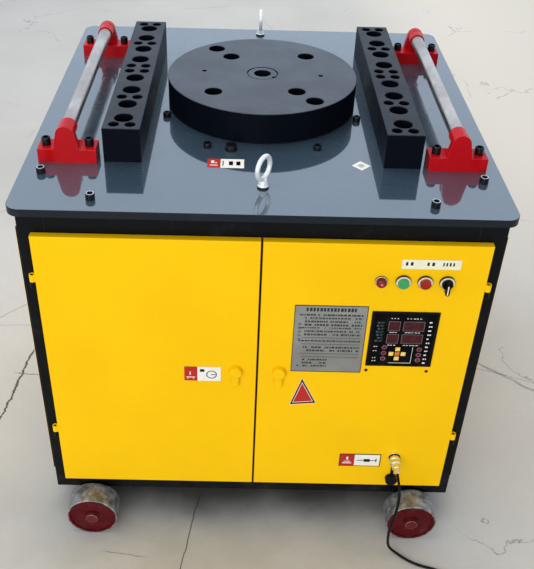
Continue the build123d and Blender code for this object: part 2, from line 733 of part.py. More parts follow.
def motor_rotor():
    """Rotor core on its shaft, with the pinion cut on the shaft's upper end."""
    core_middle = (FLANGE_BOTTOM + STATOR_BOTTOM) / 2
    shaft = rod(MOTOR_SHAFT_R, *MOTOR_XY, FAN_TOP - FAN_H, FIRST_Z + FIRST_WIDTH + LEVEL_GAP)
    shaft += rod(ROTOR_R, *MOTOR_XY, core_middle - ROTOR_L / 2, core_middle + ROTOR_L / 2)
    return shaft + pinion(FIRST_MODULE, FIRST_WIDTH, FIRST_Z, MOTOR_TURN, MOTOR_XY)


def motor_housing():
    """Finned motor housing with its flange, end shields and terminal box."""
    body = rod(FLANGE_R, *MOTOR_XY, FLANGE_BOTTOM, COVER_BOTTOM)
    body += rod(STATOR_R, *MOTOR_XY, STATOR_BOTTOM, FLANGE_BOTTOM)
    body += rod(SHIELD_R, *MOTOR_XY, SHIELD_BOTTOM, STATOR_BOTTOM)
    fin = block((STATOR_R - 1, STATOR_R + FIN_H), (-FIN_T / 2, FIN_T / 2), (STATOR_BOTTOM, FLANGE_BOTTOM))
    body += [Pos(*MOTOR_XY, 0) * Rot(0, 0, 360.0 * k / FINS) * fin for k in range(FINS)]
    x, y = MOTOR_XY
    box_y = (y - STATOR_R - TERMINAL_D, y - STATOR_R + 8)
    box_z = (FLANGE_BOTTOM - 30 - TERMINAL_H, FLANGE_BOTTOM - 30)
    body += block((x - TERMINAL_W / 2, x + TERMINAL_W / 2), box_y, box_z)
    body -= rod(STATOR_BORE_R, *MOTOR_XY, STATOR_BOTTOM, FLANGE_BOTTOM - SHIELD_T)
    return body - rod(MOTOR_SHAFT_R + RUNNING, *MOTOR_XY, SHIELD_BOTTOM, COVER_BOTTOM)


def motor_fan():
    """Cooling fan: a hub on the motor shaft with straight blades."""
    hub_r = MOTOR_SHAFT_R + 8
    z = (FAN_TOP - FAN_H, FAN_TOP)
    fan = rod(hub_r, *MOTOR_XY, *z)
    blade = block((hub_r - 1, FAN_R), (-1.5, 1.5), z)
    fan += [Pos(*MOTOR_XY, 0) * Rot(0, 0, 360.0 * k / FAN_BLADES) * blade for k in range(FAN_BLADES)]
    return bored(fan, MOTOR_SHAFT_R, MOTOR_XY, *z)


def fan_cowl():
    """Pressed cowl around the lower end shield, with a slotted floor."""
    cowl = rod(SHIELD_R + COWL_WALL, *MOTOR_XY, COWL_BOTTOM, STATOR_BOTTOM)
    cowl -= rod(SHIELD_R, *MOTOR_XY, COWL_BOTTOM + COWL_WALL, STATOR_BOTTOM)
    slot = block((30, SHIELD_R - 14), (-3, 3), (COWL_BOTTOM - 1, COWL_BOTTOM + COWL_WALL + 1))
    return cowl - [Pos(*MOTOR_XY, 0) * Rot(0, 0, 360.0 * k / COWL_SLOTS) * slot for k in range(COWL_SLOTS)]


def hole_block(side):
    """Steel block with eight pin bores and twelve counterbored screw holes."""
    x, top = side * BLOCK_X, TABLE_TOP + BLOCK_H
    bar = block(
        (x - BLOCK_W / 2, x + BLOCK_W / 2),
        (WORK_Y - BLOCK_L / 2, WORK_Y + BLOCK_L / 2),
        (TABLE_TOP, top),
    )
    bar -= [rod(PIN_BORE_R, x, y, TABLE_TOP, top) for y in block_pin_rows()]
    places = [place for place in BLOCK_SCREWS if place[0] * side > 0]
    bar -= [rod(COUNTERBORE_R, *place, TABLE_TOP + COUNTERBORE_FLOOR, top) for place in places]
    bar = chamfer(bar.faces().sort_by(Axis.Z)[-1].edges(), EDGE_BREAK)
    return bar - [rod(M12_R, *place, TABLE_TOP, TABLE_TOP + COUNTERBORE_FLOOR) for place in places]


def block_pin_rows():
    return [WORK_Y + end * offset for end in (-1, 1) for offset in BLOCK_PIN_OFFSETS]


def block_screws():
    seat = TABLE_TOP + COUNTERBORE_FLOOR
    tip = TABLE_BOTTOM + SCREW_SHORT
    return [cap_screw(M12_R, M12_HEAD_R, M12_HEAD_H, x, y, seat, tip) for x, y in BLOCK_SCREWS]


ROLLER_Z = TABLE_TOP + ROLLER_RISE


def roller_brackets(side):
    """Front and back bracket of one roller: base, arched upright and boss."""
    x = side * ROLLER_X
    inner = -ROLLER_L / 2 - ROLLER_GAP
    outer = inner - BRACKET_L
    base = block((x - BRACKET_W / 2, x + BRACKET_W / 2), (outer, inner), (TABLE_TOP, TABLE_TOP + BRACKET_H))
    base = fillet(base.edges().filter_by(Axis.Y), EDGE_BREAK)
    foot = UPRIGHT_W / 2
    drop = ROLLER_RISE - BRACKET_H + EDGE_BREAK
    lean = math.acos(UPRIGHT_R / math.hypot(foot, drop)) - math.atan2(drop, foot)
    side_x, side_z = UPRIGHT_R * math.cos(lean), UPRIGHT_R * math.sin(lean)
    sides = [(-foot, -drop), (foot, -drop), (side_x, side_z), (-side_x, side_z)]
    outline = make_face(Plane.XZ * Polyline(*sides, close=True))
    arch = Pos(x, outer + UPRIGHT_T, ROLLER_Z) * extrude(outline, amount=UPRIGHT_T)
    arch += rod_y(UPRIGHT_R, x, ROLLER_Z, outer, outer + UPRIGHT_T)
    bracket = base + arch + rod_y(BOSS_R, x, ROLLER_Z, outer, inner)
    bracket -= rod_y(ROLLER_AXLE_R, x, ROLLER_Z, outer + 5, inner)
    places = [place for place in BRACKET_SCREWS if place[0] * side > 0 and place[1] < 0]
    bracket -= [rod(M12_R, *place, TABLE_TOP, TABLE_TOP + BRACKET_H) for place in places]
    return [bracket, mirror(bracket, about=Plane.XZ)]


def bracket_screws():
    seat = TABLE_TOP + BRACKET_H
    tip = TABLE_BOTTOM + SCREW_SHORT
    return [cap_screw(M12_R, M12_HEAD_R, BRACKET_HEAD_H, x, y, seat, tip) for x, y in BRACKET_SCREWS]


def roller(side):
    """Steel tube that turns on its axle."""
    x, half = side * ROLLER_X, ROLLER_L / 2
    tube = rod_y(ROLLER_R, x, ROLLER_Z, -half, half)
    return tube - rod_y(ROLLER_AXLE_R + RUNNING, x, ROLLER_Z, -half, half)


def roller_axles():
    half = ROLLER_L / 2 + ROLLER_GAP + BRACKET_L - 5
    return [rod_y(ROLLER_AXLE_R, side * ROLLER_X, ROLLER_Z, -half, half) for side in (-1, 1)]


def lifting_eyes():
    """Two eye bolts screwed into the table plate, each turned its own way."""
    eyes = []
    for y, turn in zip((EYE_FRONT_Y, EYE_BACK_Y), EYE_TURNS):
        ring = Pos(0, y, TABLE_TOP + EYE_CENTRE) * Rot(0, 0, turn) * Rot(90, 0, 0) * Torus(EYE_RING_R, EYE_WIRE_R)
        neck_top = TABLE_TOP + EYE_CENTRE - EYE_RING_R
        neck = Pos(0, y, (TABLE_TOP + neck_top) / 2) * Cone(*EYE_NECK_R, neck_top - TABLE_TOP)
        collar = rod(EYE_COLLAR_R, 0, y, TABLE_TOP, TABLE_TOP + EYE_COLLAR_H)
        shank = rod(M12_R, 0, y, TABLE_BOTTOM + SCREW_SHORT, TABLE_TOP)
        eyes.append(ring + neck + collar + shank)
    return eyes


def table_bolts():
    """Screws with nuts that hold the plate to the frame, and screws into the gear case."""
    bolts = []
    flange = TABLE_BOTTOM - BAR_T
    for x, y in TABLE_BOLTS:
        tip = flange - NUT_H - 2
        bolts.append(cap_screw(M12_R, M12_HEAD_R, M12_HEAD_H, x, y, TABLE_TOP, tip))
        nut = extrude(Pos(x, y, flange - NUT_H) * RegularPolygon(NUT_R, 6), amount=NUT_H)
        bolts.append(nut - rod(M12_R, x, y, flange - NUT_H, flange))
    for x, y in CASE_BOLTS:
        tip = CASE_TOP - CASE_BOLT_DEPTH + SCREW_SHORT
        bolts.append(cap_screw(M10_R, M10_HEAD_R, M10_HEAD_H, x, y, TABLE_TOP, tip))
    return bolts


def oil_plug():
    """Filler plug of the gear case: hexagon on a collar, with a plain stem."""
    x, y = PLUG_XY
    plug = rod(PLUG_HEAD_R + 1, x, y, TABLE_TOP, TABLE_TOP + 3)
    plug += extrude(Pos(x, y, TABLE_TOP + 3) * RegularPolygon(PLUG_HEAD_R, 6), amount=9)
    return plug + rod(PLUG_R, x, y, CASE_CEILING, TABLE_TOP)


def wheel(side, end):
    """Cast wheel with a dished face and a hub boss. end is -1 at the front, 1 at the back."""
    x = side * WHEEL_X
    y0 = end * (FRAME_Y + WHEEL_IN)
    y1 = y0 + end * WHEEL_W
    body = rod_y(WHEEL_R, x, WHEEL_R, y0, y1)
    body = fillet(body.edges().filter_by(GeomType.CIRCLE), EDGE_BREAK * 2)
    body -= rod_y(WHEEL_FACE_R, x, WHEEL_R, y0, y0 + end * WHEEL_RECESS)
    body -= rod_y(WHEEL_FACE_R, x, WHEEL_R, y1, y1 - end * WHEEL_RECESS)
    body += rod_y(WHEEL_BOSS_R, x, WHEEL_R, y0, y1)
    return body - rod_y(AXLE_R + RUNNING, x, WHEEL_R, y0, y1)


def axle_blocks():
    """Four bearing blocks welded under the foot rails."""
    half = AXLE_BLOCK / 2
    top = FRAME_BOTTOM
    solids = []
    for side in (-1, 1):
        for end in (-1, 1):
            x = side * WHEEL_X
            near = end * (FRAME_Y - AXLE_BLOCK_L)
            y = (min(near, end * FRAME_Y), max(near, end * FRAME_Y))
            lug = block((x - half, x + half), y, (WHEEL_R - half, top))
            solids.append(lug - rod_y(AXLE_R, x, WHEEL_R, *y))
    return solids


def axle_bolts():
    """Four shoulder bolts: head outside the wheel, collar inside it, shank in the block."""
    solids = []
    for side in (-1, 1):
        for end in (-1, 1):
            x = side * WHEEL_X
            wheel_in = end * (FRAME_Y + WHEEL_IN)
            wheel_out = wheel_in + end * WHEEL_W
            head = wheel_out + end * SIDE_PLAY
            bolt = rod_y(AXLE_R, x, WHEEL_R, end * (FRAME_Y - AXLE_BLOCK_L), head)
            bolt += rod_y(AXLE_COLLAR_R, x, WHEEL_R, end * FRAME_Y, wheel_in - end * SIDE_PLAY)
            bolt += rod_y(AXLE_HEAD_R, x, WHEEL_R, head, head + end * AXLE_HEAD_T)
            solids.append(bolt)
    return solids


def control_body(x, bezel_r, bezel_h, bore_r):
    """Bezel, threaded barrel and contact block of one control."""
    barrel_end = DOOR_FACE_Y + BARREL_L
    half = CONTACT_W / 2
    body = rod_y(bezel_r, x, CONTROL_Z, DOOR_FACE_Y - bezel_h, DOOR_FACE_Y)
    body = chamfer(body.faces().sort_by(Axis.Y)[0].edges(), EDGE_BREAK)
    body += rod_y(BARREL_R, x, CONTROL_Z, DOOR_FACE_Y, barrel_end)
    body += block(
        (x - half, x + half),
        (barrel_end, barrel_end + CONTACT_L),
        (CONTROL_Z - CONTACT_H / 2, CONTROL_Z + CONTACT_H / 2),
    )
    pocket = DOOR_FACE_Y - CAP_PROUD + CAP_T + BUTTON_TRAVEL + CAP_GAP
    body -= rod_y(bore_r, x, CONTROL_Z, DOOR_FACE_Y - bezel_h, pocket)
    return body - rod_y(STEM_R + RUNNING, x, CONTROL_Z, pocket, barrel_end + BUTTON_TRAVEL + 1)


def control_bodies():
    lamp = control_body(LAMP_X, LAMP_BEZEL_R, LAMP_BEZEL_H, LENS_R)
    others = [control_body(x, BEZEL_R, BEZEL_H, CAP_R + CAP_GAP) for x in (GREEN_X, RED_X, SELECTOR_X)]
    return [lamp] + others


def lamp_lens():
    """Domed lens seated in the lamp's bezel."""
    front = DOOR_FACE_Y - LENS_PROUD
    seat = DOOR_FACE_Y - CAP_PROUD + CAP_T + BUTTON_TRAVEL + CAP_GAP
    lens = rod_y(LENS_R, LAMP_X, CONTROL_Z, front, seat)
    return fillet(lens.faces().sort_by(Axis.Y)[0].edges(), 5)


def push_button(x):
    """Button cap with the stem that presses its contact."""
    front = DOOR_FACE_Y - CAP_PROUD
    cap = rod_y(CAP_R, x, CONTROL_Z, front, front + CAP_T)
    cap = fillet(cap.faces().sort_by(Axis.Y)[0].edges(), EDGE_BREAK)
    return cap + rod_y(STEM_R, x, CONTROL_Z, front + CAP_T, DOOR_FACE_Y + BARREL_L)


def selector_knob():
    """Turn knob with a pointer lever, standing in its bezel."""
    front = DOOR_FACE_Y - BEZEL_H - KNOB_T + 4
    knob = rod_y(CAP_R, SELECTOR_X, CONTROL_Z, DOOR_FACE_Y - BEZEL_H - 4, DOOR_FACE_Y - 2)
    half = KNOB_LEVER_W / 2
    lever_y = (front, DOOR_FACE_Y - BEZEL_H - 1)
    lever = block(
        (SELECTOR_X - half, SELECTOR_X + half),
        lever_y,
        (CONTROL_Z - KNOB_LEVER_DOWN + half, CONTROL_Z + KNOB_LEVER_UP),
    )
    lever += rod_y(half, SELECTOR_X, CONTROL_Z - KNOB_LEVER_DOWN + half, *lever_y)
    return knob + lever + rod_y(STEM_R, SELECTOR_X, CONTROL_Z, DOOR_FACE_Y - 2, DOOR_FACE_Y + BARREL_L)


def controller_body():
    """Plan of the controller behind its bezel."""
    x = (CONTROLLER_X[0] + CONTROLLER_LIP, CONTROLLER_X[1] - CONTROLLER_LIP)
    z = (CONTROLLER_Z[0] + CONTROLLER_LIP, CONTROLLER_Z[1] - CONTROLLER_LIP)
    return x, z


def controller():
    """Panel computer: a bezel on the door's face and its body behind."""
    x, z = controller_body()
    unit = block(CONTROLLER_X, (DOOR_FACE_Y - CONTROLLER_BEZEL, DOOR_FACE_Y), CONTROLLER_Z)
    return unit + block(x, (DOOR_FACE_Y, DOOR_FACE_Y + CONTROLLER_L), z)


def instruction_plate():
    return block(PLATE_X, (DOOR_FACE_Y - PLATE_T, DOOR_FACE_Y), PLATE_Z)


def socket():
    """Panel socket: flange and threaded barrel outside, body through the door."""
    flange_y = DOOR_FACE_Y - SOCKET_FLANGE_T
    body = rod_y(SOCKET_FLANGE_R, SOCKET_X, SOCKET_Z, flange_y, DOOR_FACE_Y)
    body += rod_y(SOCKET_BARREL_R, SOCKET_X, SOCKET_Z, flange_y - SOCKET_BARREL_L, flange_y)
    return body + rod_y(SOCKET_BODY_R, SOCKET_X, SOCKET_Z, DOOR_FACE_Y, DOOR_FACE_Y + SOCKET_BODY_L)


STRAP_FRONT = DOOR_FACE_Y - SOCKET_FLANGE_T - STRAP_T
SLEEVE_BACK = STRAP_FRONT - SIDE_PLAY
SLEEVE_FRONT = SLEEVE_BACK - SLEEVE_L
GLAND_BACK = SLEEVE_FRONT - PLUG_BODY_L
CORD_START = GLAND_BACK - GLAND_L


def plug():
    """Plug screwed on the socket: sleeve, body and tapered gland."""
    barrel_front = DOOR_FACE_Y - SOCKET_FLANGE_T - SOCKET_BARREL_L
    body = rod_y(SLEEVE_R, SOCKET_X, SOCKET_Z, SLEEVE_FRONT, SLEEVE_BACK)
    body -= rod_y(SLEEVE_BORE_R, SOCKET_X, SOCKET_Z, barrel_front - SIDE_PLAY, SLEEVE_BACK)
    body += rod_y(PLUG_BODY_R, SOCKET_X, SOCKET_Z, GLAND_BACK, SLEEVE_FRONT)
    return body + cone_y(GLAND_R, CORD_D / 2 + 1, SOCKET_X, SOCKET_Z, GLAND_BACK, CORD_START)


def dust_cap():
    """Rubber cap hanging by its strap from a ring around the socket."""
    cap_z = SOCKET_Z - CAP_DROP
    back = DOOR_FACE_Y - 1.0
    cap = rod_y(DUST_CAP_R, SOCKET_X, cap_z, back - DUST_CAP_L, back)
    cap = fillet(cap.faces().sort_by(Axis.Y)[0].edges(), EDGE_BREAK)
    strap_y = (STRAP_FRONT, STRAP_FRONT + STRAP_T)
    ring = rod_y(STRAP_RING_R, SOCKET_X, SOCKET_Z, *strap_y)
    half = STRAP_W / 2
    strap = block((SOCKET_X - half, SOCKET_X + half), strap_y, (cap_z, SOCKET_Z - SOCKET_BARREL_R - 1))
    hole = rod_y(SOCKET_BARREL_R + RUNNING, SOCKET_X, SOCKET_Z, *strap_y)
    return cap + (ring + strap - hole)


def cord_tube(route):
    """Tube along straight runs joined by arcs, each as large as its two runs allow."""
    points = [Vector(*p) for p in route]
    radii = []
    for before, corner, after in zip(points, points[1:], points[2:]):
        run_in, run_out = corner - before, after - corner
        turn = math.radians(run_in.get_angle(run_out))
        radii.append(0.45 * min(run_in.length, run_out.length) / math.tan(turn / 2))
    print("cord radii, mm:", [round(r) for r in radii])
    path = FilletPolyline(*points, radius=radii)
    start = Plane(origin=points[0], z_dir=points[1] - points[0])
    tube = sweep(start * Circle(CORD_D / 2), path=path)
    expected = math.pi * (CORD_D / 2) ** 2 * path.length
    print("cord length, mm:", round(path.length), "volume ratio:", round(tube.volume / expected, 3))
    return tube


def cord():
    """The stretch from the plug to the coil, and the one from the coil to the pedal."""
    return [cord_tube(CORD_ROUTE), cord_tube(CORD_TAIL)]


def cord_coil():
    """Outer shape of the tied coil that holds the spare length."""
    ring = rod(COIL_R + COIL_W / 2, COIL_X, COIL_Y, 0, COIL_H)
    ring -= rod(COIL_R - COIL_W / 2, COIL_X, COIL_Y, 0, COIL_H)
    return fillet(ring.edges().filter_by(GeomType.CIRCLE), COIL_W / 4)


PEDAL_AXIS_Y = PEDAL_Y[1] - 12.0
PEDAL_AXIS_Z = PEDAL_CHEEK_H - 9.0


def foot_switch_base():
    """Floor plate with two cheeks that carry the pedal's pin, a switch housing and a cord gland."""
    x = (PEDAL_X - PEDAL_W / 2, PEDAL_X + PEDAL_W / 2)
    base = block(x, PEDAL_Y, (0, PEDAL_WALL))
    cheek_y = (PEDAL_Y[1] - 40, PEDAL_Y[1])
    for low in (x[0], x[1] - PEDAL_WALL):
        base += block((low, low + PEDAL_WALL), cheek_y, (0, PEDAL_CHEEK_H))
    housing = (PEDAL_X - PEDAL_W / 2 + 14, PEDAL_X + PEDAL_W / 2 - 14)
    base += block(housing, (PEDAL_Y[0] + 30, PEDAL_Y[1]), (0, PEDAL_BASE_H))
    base += rod_y(PEDAL_GLAND_R, PEDAL_X, PEDAL_GLAND_Z, PEDAL_Y[1], PEDAL_Y[1] + PEDAL_GLAND_L)
    for low in (x[0], x[1] - PEDAL_WALL):
        base += rod_x(PEDAL_PIN_R, PEDAL_AXIS_Y, PEDAL_AXIS_Z, PEDAL_X, low + PEDAL_WALL / 2)
    return base


def foot_pedal():
    """Tread plate that tips about the pin between the cheeks."""
    half = PEDAL_W / 2 - PEDAL_WALL - 1.0
    x = (PEDAL_X - half, PEDAL_X + half)
    reach = PEDAL_AXIS_Y - PEDAL_Y[0] + 4
    plate = block(x, (-reach, 9), (4.0, 4.0 + PEDAL_PLATE_T))
    tube = rod_x(8.0, 0, 0, *x)
    pedal = Pos(0, PEDAL_AXIS_Y, PEDAL_AXIS_Z) * Rot(-PEDAL_SLOPE / 3, 0, 0) * (plate + tube)
    return pedal - rod_x(PEDAL_PIN_R + RUNNING, PEDAL_AXIS_Y, PEDAL_AXIS_Z, *x)


def electrical_box():
    """Closed steel box for the contactors, standing on the cabinet floor."""
    floor = FRAME_BOTTOM + BAR_T + TRAY_T
    z = (floor, floor + BOX_H)
    shell = block(BOX_X, BOX_Y, z)
    return shell - block(grown(BOX_X, -BOX_WALL), grown(BOX_Y, -BOX_WALL), grown(z, -BOX_WALL))


def write_parts():
    os.makedirs("parts", exist_ok=True)
    save("table_plate", table_plate())
    save("frame_posts", *frame_posts())
    save("frame_rails", *frame_rails())
    save("centre_post", centre_post())
    save("left_side_panel", mirrored(side_panel(), -1))
    save("right_side_panel", side_panel())
    save("back_panel", back_panel())
    save("bottom_tray", bottom_tray())
    save("left_door", mirrored(door(), -1))
    save("right_door", door() - control_cutouts())
    save("frame_hinges", *frame_hinges())
    save("left_latch", mirrored(latch(), -1))
    save("right_latch", latch())
    save("work_disc", work_disc())
    save("spindle", spindle())
    save("bull_gear", bull_gear())
    save("gear_case", gear_case())
    save("gear_cover", gear_cover())
    save("gearbox_bearings", *gearbox_bearings())
    save("second_shaft", second_shaft())
    save("second_gear", second_gear())
    save("first_shaft", first_shaft())
    save("first_gear", first_gear())
    save("motor_rotor", motor_rotor())
    save("motor_housing", motor_housing())
    save("motor_fan", motor_fan())
    save("fan_cowl", fan_cowl())
    save("left_hole_block", hole_block(-1))
    save("right_hole_block", hole_block(1))
    save("block_screws", *block_screws())
    save("left_roller_brackets", *roller_brackets(-1))
    save("right_roller_brackets", *roller_brackets(1))
    save("bracket_screws", *bracket_screws())
    save("left_roller", roller(-1))
    save("right_roller", roller(1))
    save("roller_axles", *roller_axles())
    save("lifting_eyes", *lifting_eyes())
    save("table_bolts", *table_bolts())
    save("oil_plug", oil_plug())
    for end, end_name in ((-1, "front"), (1, "back")):
        for side, side_name in ((-1, "left"), (1, "right")):
            save(f"{end_name}_{side_name}_wheel", wheel(side, end))
    save("axle_blocks", *axle_blocks())
    save("axle_bolts", *axle_bolts())
    save("control_bodies", *control_bodies())
    save("lamp_lens", lamp_lens())
    save("green_button", push_button(GREEN_X))
    save("red_button", push_button(RED_X))
    save("selector_knob", selector_knob())
    save("controller", controller())
    save("instruction_plate", instruction_plate())
    save("socket", socket())
    save("plug", plug())
    save("dust_cap", dust_cap())
    save("cord", *cord())
    save("cord_coil", cord_coil())
    save("foot_switch_base", foot_switch_base())
    save("foot_pedal", foot_pedal())
    save("electrical_box", electrical_box())


write_parts()
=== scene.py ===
import json
import math
import random

import bmesh
import bpy
from mathutils import Matrix, Vector

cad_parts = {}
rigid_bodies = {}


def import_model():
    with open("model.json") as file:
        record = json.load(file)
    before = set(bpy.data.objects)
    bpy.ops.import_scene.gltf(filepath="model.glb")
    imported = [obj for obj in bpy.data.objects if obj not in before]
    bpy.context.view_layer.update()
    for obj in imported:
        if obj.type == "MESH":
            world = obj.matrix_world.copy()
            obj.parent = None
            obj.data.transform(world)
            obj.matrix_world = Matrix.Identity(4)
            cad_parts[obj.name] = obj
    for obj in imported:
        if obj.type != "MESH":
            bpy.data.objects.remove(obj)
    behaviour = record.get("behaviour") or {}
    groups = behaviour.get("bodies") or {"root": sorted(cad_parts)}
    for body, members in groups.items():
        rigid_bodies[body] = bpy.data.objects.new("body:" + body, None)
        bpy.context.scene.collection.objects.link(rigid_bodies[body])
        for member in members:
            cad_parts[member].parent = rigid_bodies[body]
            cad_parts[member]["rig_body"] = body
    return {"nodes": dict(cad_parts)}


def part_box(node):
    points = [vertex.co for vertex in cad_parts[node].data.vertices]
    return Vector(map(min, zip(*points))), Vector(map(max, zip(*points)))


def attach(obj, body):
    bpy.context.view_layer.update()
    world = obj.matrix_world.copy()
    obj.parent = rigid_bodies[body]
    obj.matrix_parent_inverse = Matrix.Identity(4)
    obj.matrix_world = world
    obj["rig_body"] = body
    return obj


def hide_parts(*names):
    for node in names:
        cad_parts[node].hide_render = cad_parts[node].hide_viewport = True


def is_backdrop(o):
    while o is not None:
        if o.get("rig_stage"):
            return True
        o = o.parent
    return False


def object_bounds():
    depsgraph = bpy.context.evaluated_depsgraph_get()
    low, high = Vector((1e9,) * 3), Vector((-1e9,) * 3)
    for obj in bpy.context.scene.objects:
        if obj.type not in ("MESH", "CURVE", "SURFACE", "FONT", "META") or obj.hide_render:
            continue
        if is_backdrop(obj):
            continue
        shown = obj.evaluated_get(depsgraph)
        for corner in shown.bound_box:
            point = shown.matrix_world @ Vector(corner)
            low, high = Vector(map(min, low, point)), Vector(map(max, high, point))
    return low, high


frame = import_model()
cad_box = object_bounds()
nodes = frame["nodes"]
MM = 0.001


# ---- Workshop floor, lights and camera ----
# The machine stands on a pale sealed concrete floor, under a soft ceiling light and windows, and is
# seen by a standing person a little over a metre in front of it.


def put(tree, kind, inputs=None, **settings):
    """A shader node with its settings, and its inputs set or linked."""
    node = tree.nodes.new("ShaderNode" + kind)
    for key, value in settings.items():
        setattr(node, key, value)
    for key, value in (inputs or {}).items():
        if isinstance(value, bpy.types.NodeSocket):
            tree.links.new(value, node.inputs[key])
        else:
            node.inputs[key].default_value = value
    return node


def new_finish(name, roughness=0.5, metallic=0.0, **sockets):
    """A new material, with the shader's own sockets set by name, such as Coat_Weight=1."""
    material = bpy.data.materials.new(name)
    material.use_nodes = True
    tree = material.node_tree
    surface = tree.nodes["Principled BSDF"]
    surface.inputs["Roughness"].default_value = roughness
    surface.inputs["Metallic"].default_value = metallic
    for key, value in sockets.items():
        surface.inputs[key.replace("_", " ")].default_value = value
    place = put(tree, "TexCoord").outputs["Object"]
    return material, tree, surface, place


def grain(tree, place, scale, detail=4.0, roughness=0.55, stretch=None):
    """Noise of the given scale per metre, stretched along the axes if asked."""
    if stretch:
        place = put(tree, "Mapping", {"Vector": place, "Scale": stretch}).outputs[0]
    fields = {"Vector": place, "Scale": scale, "Detail": detail, "Roughness": roughness}
    return put(tree, "TexNoise", fields).outputs[0]


def between(tree, value, low, high, start=0.0, end=1.0):
    """Value spread smoothly from start to end as it goes from low to high."""
    fields = {0: value, 1: low, 2: high, 3: start, 4: end}
    return put(tree, "MapRange", fields, interpolation_type="SMOOTHSTEP").outputs[0]


def sums(tree, kind, a, b=0.0):
    """One step of arithmetic, such as ADD or SUBTRACT."""
    return put(tree, "Math", {0: a, 1: b}, operation=kind).outputs[0]


def times(tree, a, b):
    return sums(tree, "MULTIPLY", a, b)


def along(tree, vector, axis):
    """A vector's part along an axis, 0 for X to 2 for Z."""
    return put(tree, "SeparateXYZ", {0: vector}).outputs[axis]


def tint(tree, share, a, b):
    """Colour a turning to colour b as share goes from 0 to 1."""
    node = put(tree, "Mix", data_type="RGBA")
    for index, value in ((0, share), (6, a), (7, b)):
        if isinstance(value, bpy.types.NodeSocket):
            tree.links.new(value, node.inputs[index])
        else:
            node.inputs[index].default_value = value if index == 0 else (*value, 1.0)
    return node.outputs[2]


def raised(tree, surface, height, depth, strength=1.0):
    """Bump on the surface: height times depth, in metres."""
    fields = {"Height": height, "Distance": depth, "Strength": strength}
    bump = put(tree, "Bump", fields).outputs[0]
    tree.links.new(bump, surface.inputs["Normal"])


def set_colour(tree, surface, colour, roughness=None):
    tree.links.new(colour, surface.inputs["Base Color"])
    if roughness is not None:
        tree.links.new(roughness, surface.inputs["Roughness"])


def added(name, data):
    """A new object in the scene."""
    shape = bpy.data.objects.new(name, data)
    bpy.context.scene.collection.objects.link(shape)
    return shape


FLOOR_REACH = 9.0
floor_corners = [(x * FLOOR_REACH, y * FLOOR_REACH, 0) for x, y in ((-1, -1), (1, -1), (1, 1), (-1, 1))]
floor_mesh = bpy.data.meshes.new("floor")
floor_mesh.from_pydata(floor_corners, [], [(0, 1, 2, 3)])
floor = added("floor", floor_mesh)
concrete, tree, surface, place = new_finish("sealed_concrete", 0.5)
cloudy = between(tree, grain(tree, place, 1.3, 6), 0.3, 0.7)
speckle = between(tree, grain(tree, place, 60, 3), 0.35, 0.75)
shade = tint(tree, cloudy, (0.49, 0.48, 0.455), (0.57, 0.56, 0.535))
shade = tint(tree, times(tree, speckle, 0.18), shade, (0.45, 0.44, 0.42))
floor_x, floor_y = along(tree, place, 0), along(tree, place, 1)
# Painted light: the floor grows lighter and warmer towards the back right.
painted_light_back_right = times(tree, between(tree, floor_x, 0.3, 1.2), between(tree, floor_y, -0.2, 1.6))
shade = tint(tree, painted_light_back_right, shade, (0.71, 0.66, 0.585))
# Painted shade: the floor in front of the machine's left half is darkened in blotches.
painted_shade_front_left = times(tree, between(tree, floor_y, -0.25, -0.5), between(tree, floor_x, 0.6, 0.2))
blotch = between(tree, grain(tree, place, 6, 5, 0.6), 0.25, 0.75, 0.2, 0.55)
shade = tint(tree, times(tree, painted_shade_front_left, blotch), shade, (0.32, 0.315, 0.27))
# Painted shadow under the machine: its footprint darkened almost to black, with ragged, feathered edges.
FOOTPRINT, FEATHER = 0.42, 0.14
shadow_wobble = times(tree, sums(tree, "SUBTRACT", grain(tree, place, 5, 5), 0.5), 0.12)
under = []
for side in (floor_x, floor_y):
    spread = sums(tree, "ADD", sums(tree, "ABSOLUTE", side), shadow_wobble)
    under.append(between(tree, spread, FOOTPRINT + FEATHER / 2, FOOTPRINT - FEATHER / 2))
painted_shadow_under = times(tree, *under)
shade = tint(tree, times(tree, painted_shadow_under, 0.93), shade, (0.030, 0.029, 0.024))
wander = put(tree, "VectorMath", {0: grain(tree, place, 7, 5), 3: 0.16}, operation="SCALE").outputs[0]
wandered = put(tree, "VectorMath", {0: place, 1: wander}).outputs[0]
cells = {"Vector": wandered, "Scale": 1.9}
cracks = put(tree, "TexVoronoi", cells, feature="DISTANCE_TO_EDGE").outputs[0]
crack = between(tree, cracks, 0.0052, 0.0018)
some = between(tree, grain(tree, place, 2.3, 3), 0.51, 0.58)
shade = tint(tree, times(tree, times(tree, crack, some), 0.55), shade, (0.10, 0.10, 0.10))
LINE_FADE = 0.03


def joint_line(start, end, width, shade, depth):
    """A dark crack or joint in the floor from start to end, ragged at its edges."""
    run = Vector(end) - Vector(start)
    ahead = run.normalized()
    offset = put(tree, "VectorMath", {0: place, 1: (*start, 0)}, operation="SUBTRACT").outputs[0]
    travel, across = (
        put(tree, "VectorMath", {0: offset, 1: aim}, operation="DOT_PRODUCT").outputs[1]
        for aim in ((*ahead, 0), (-ahead.y, ahead.x, 0))
    )
    wobble = times(tree, sums(tree, "SUBTRACT", grain(tree, place, 22, 5, 0.7), 0.5), 5 * width)
    off_line = sums(tree, "ABSOLUTE", sums(tree, "ADD", across, wobble))
    off_middle = sums(tree, "ABSOLUTE", sums(tree, "SUBTRACT", travel, run.length / 2))
    dark = between(tree, off_line, width * 0.7, width * 0.3)
    line = times(tree, dark, between(tree, off_middle, run.length / 2, run.length / 2 - LINE_FADE))
    return tint(tree, times(tree, line, depth), shade, (0.035, 0.030, 0.026))


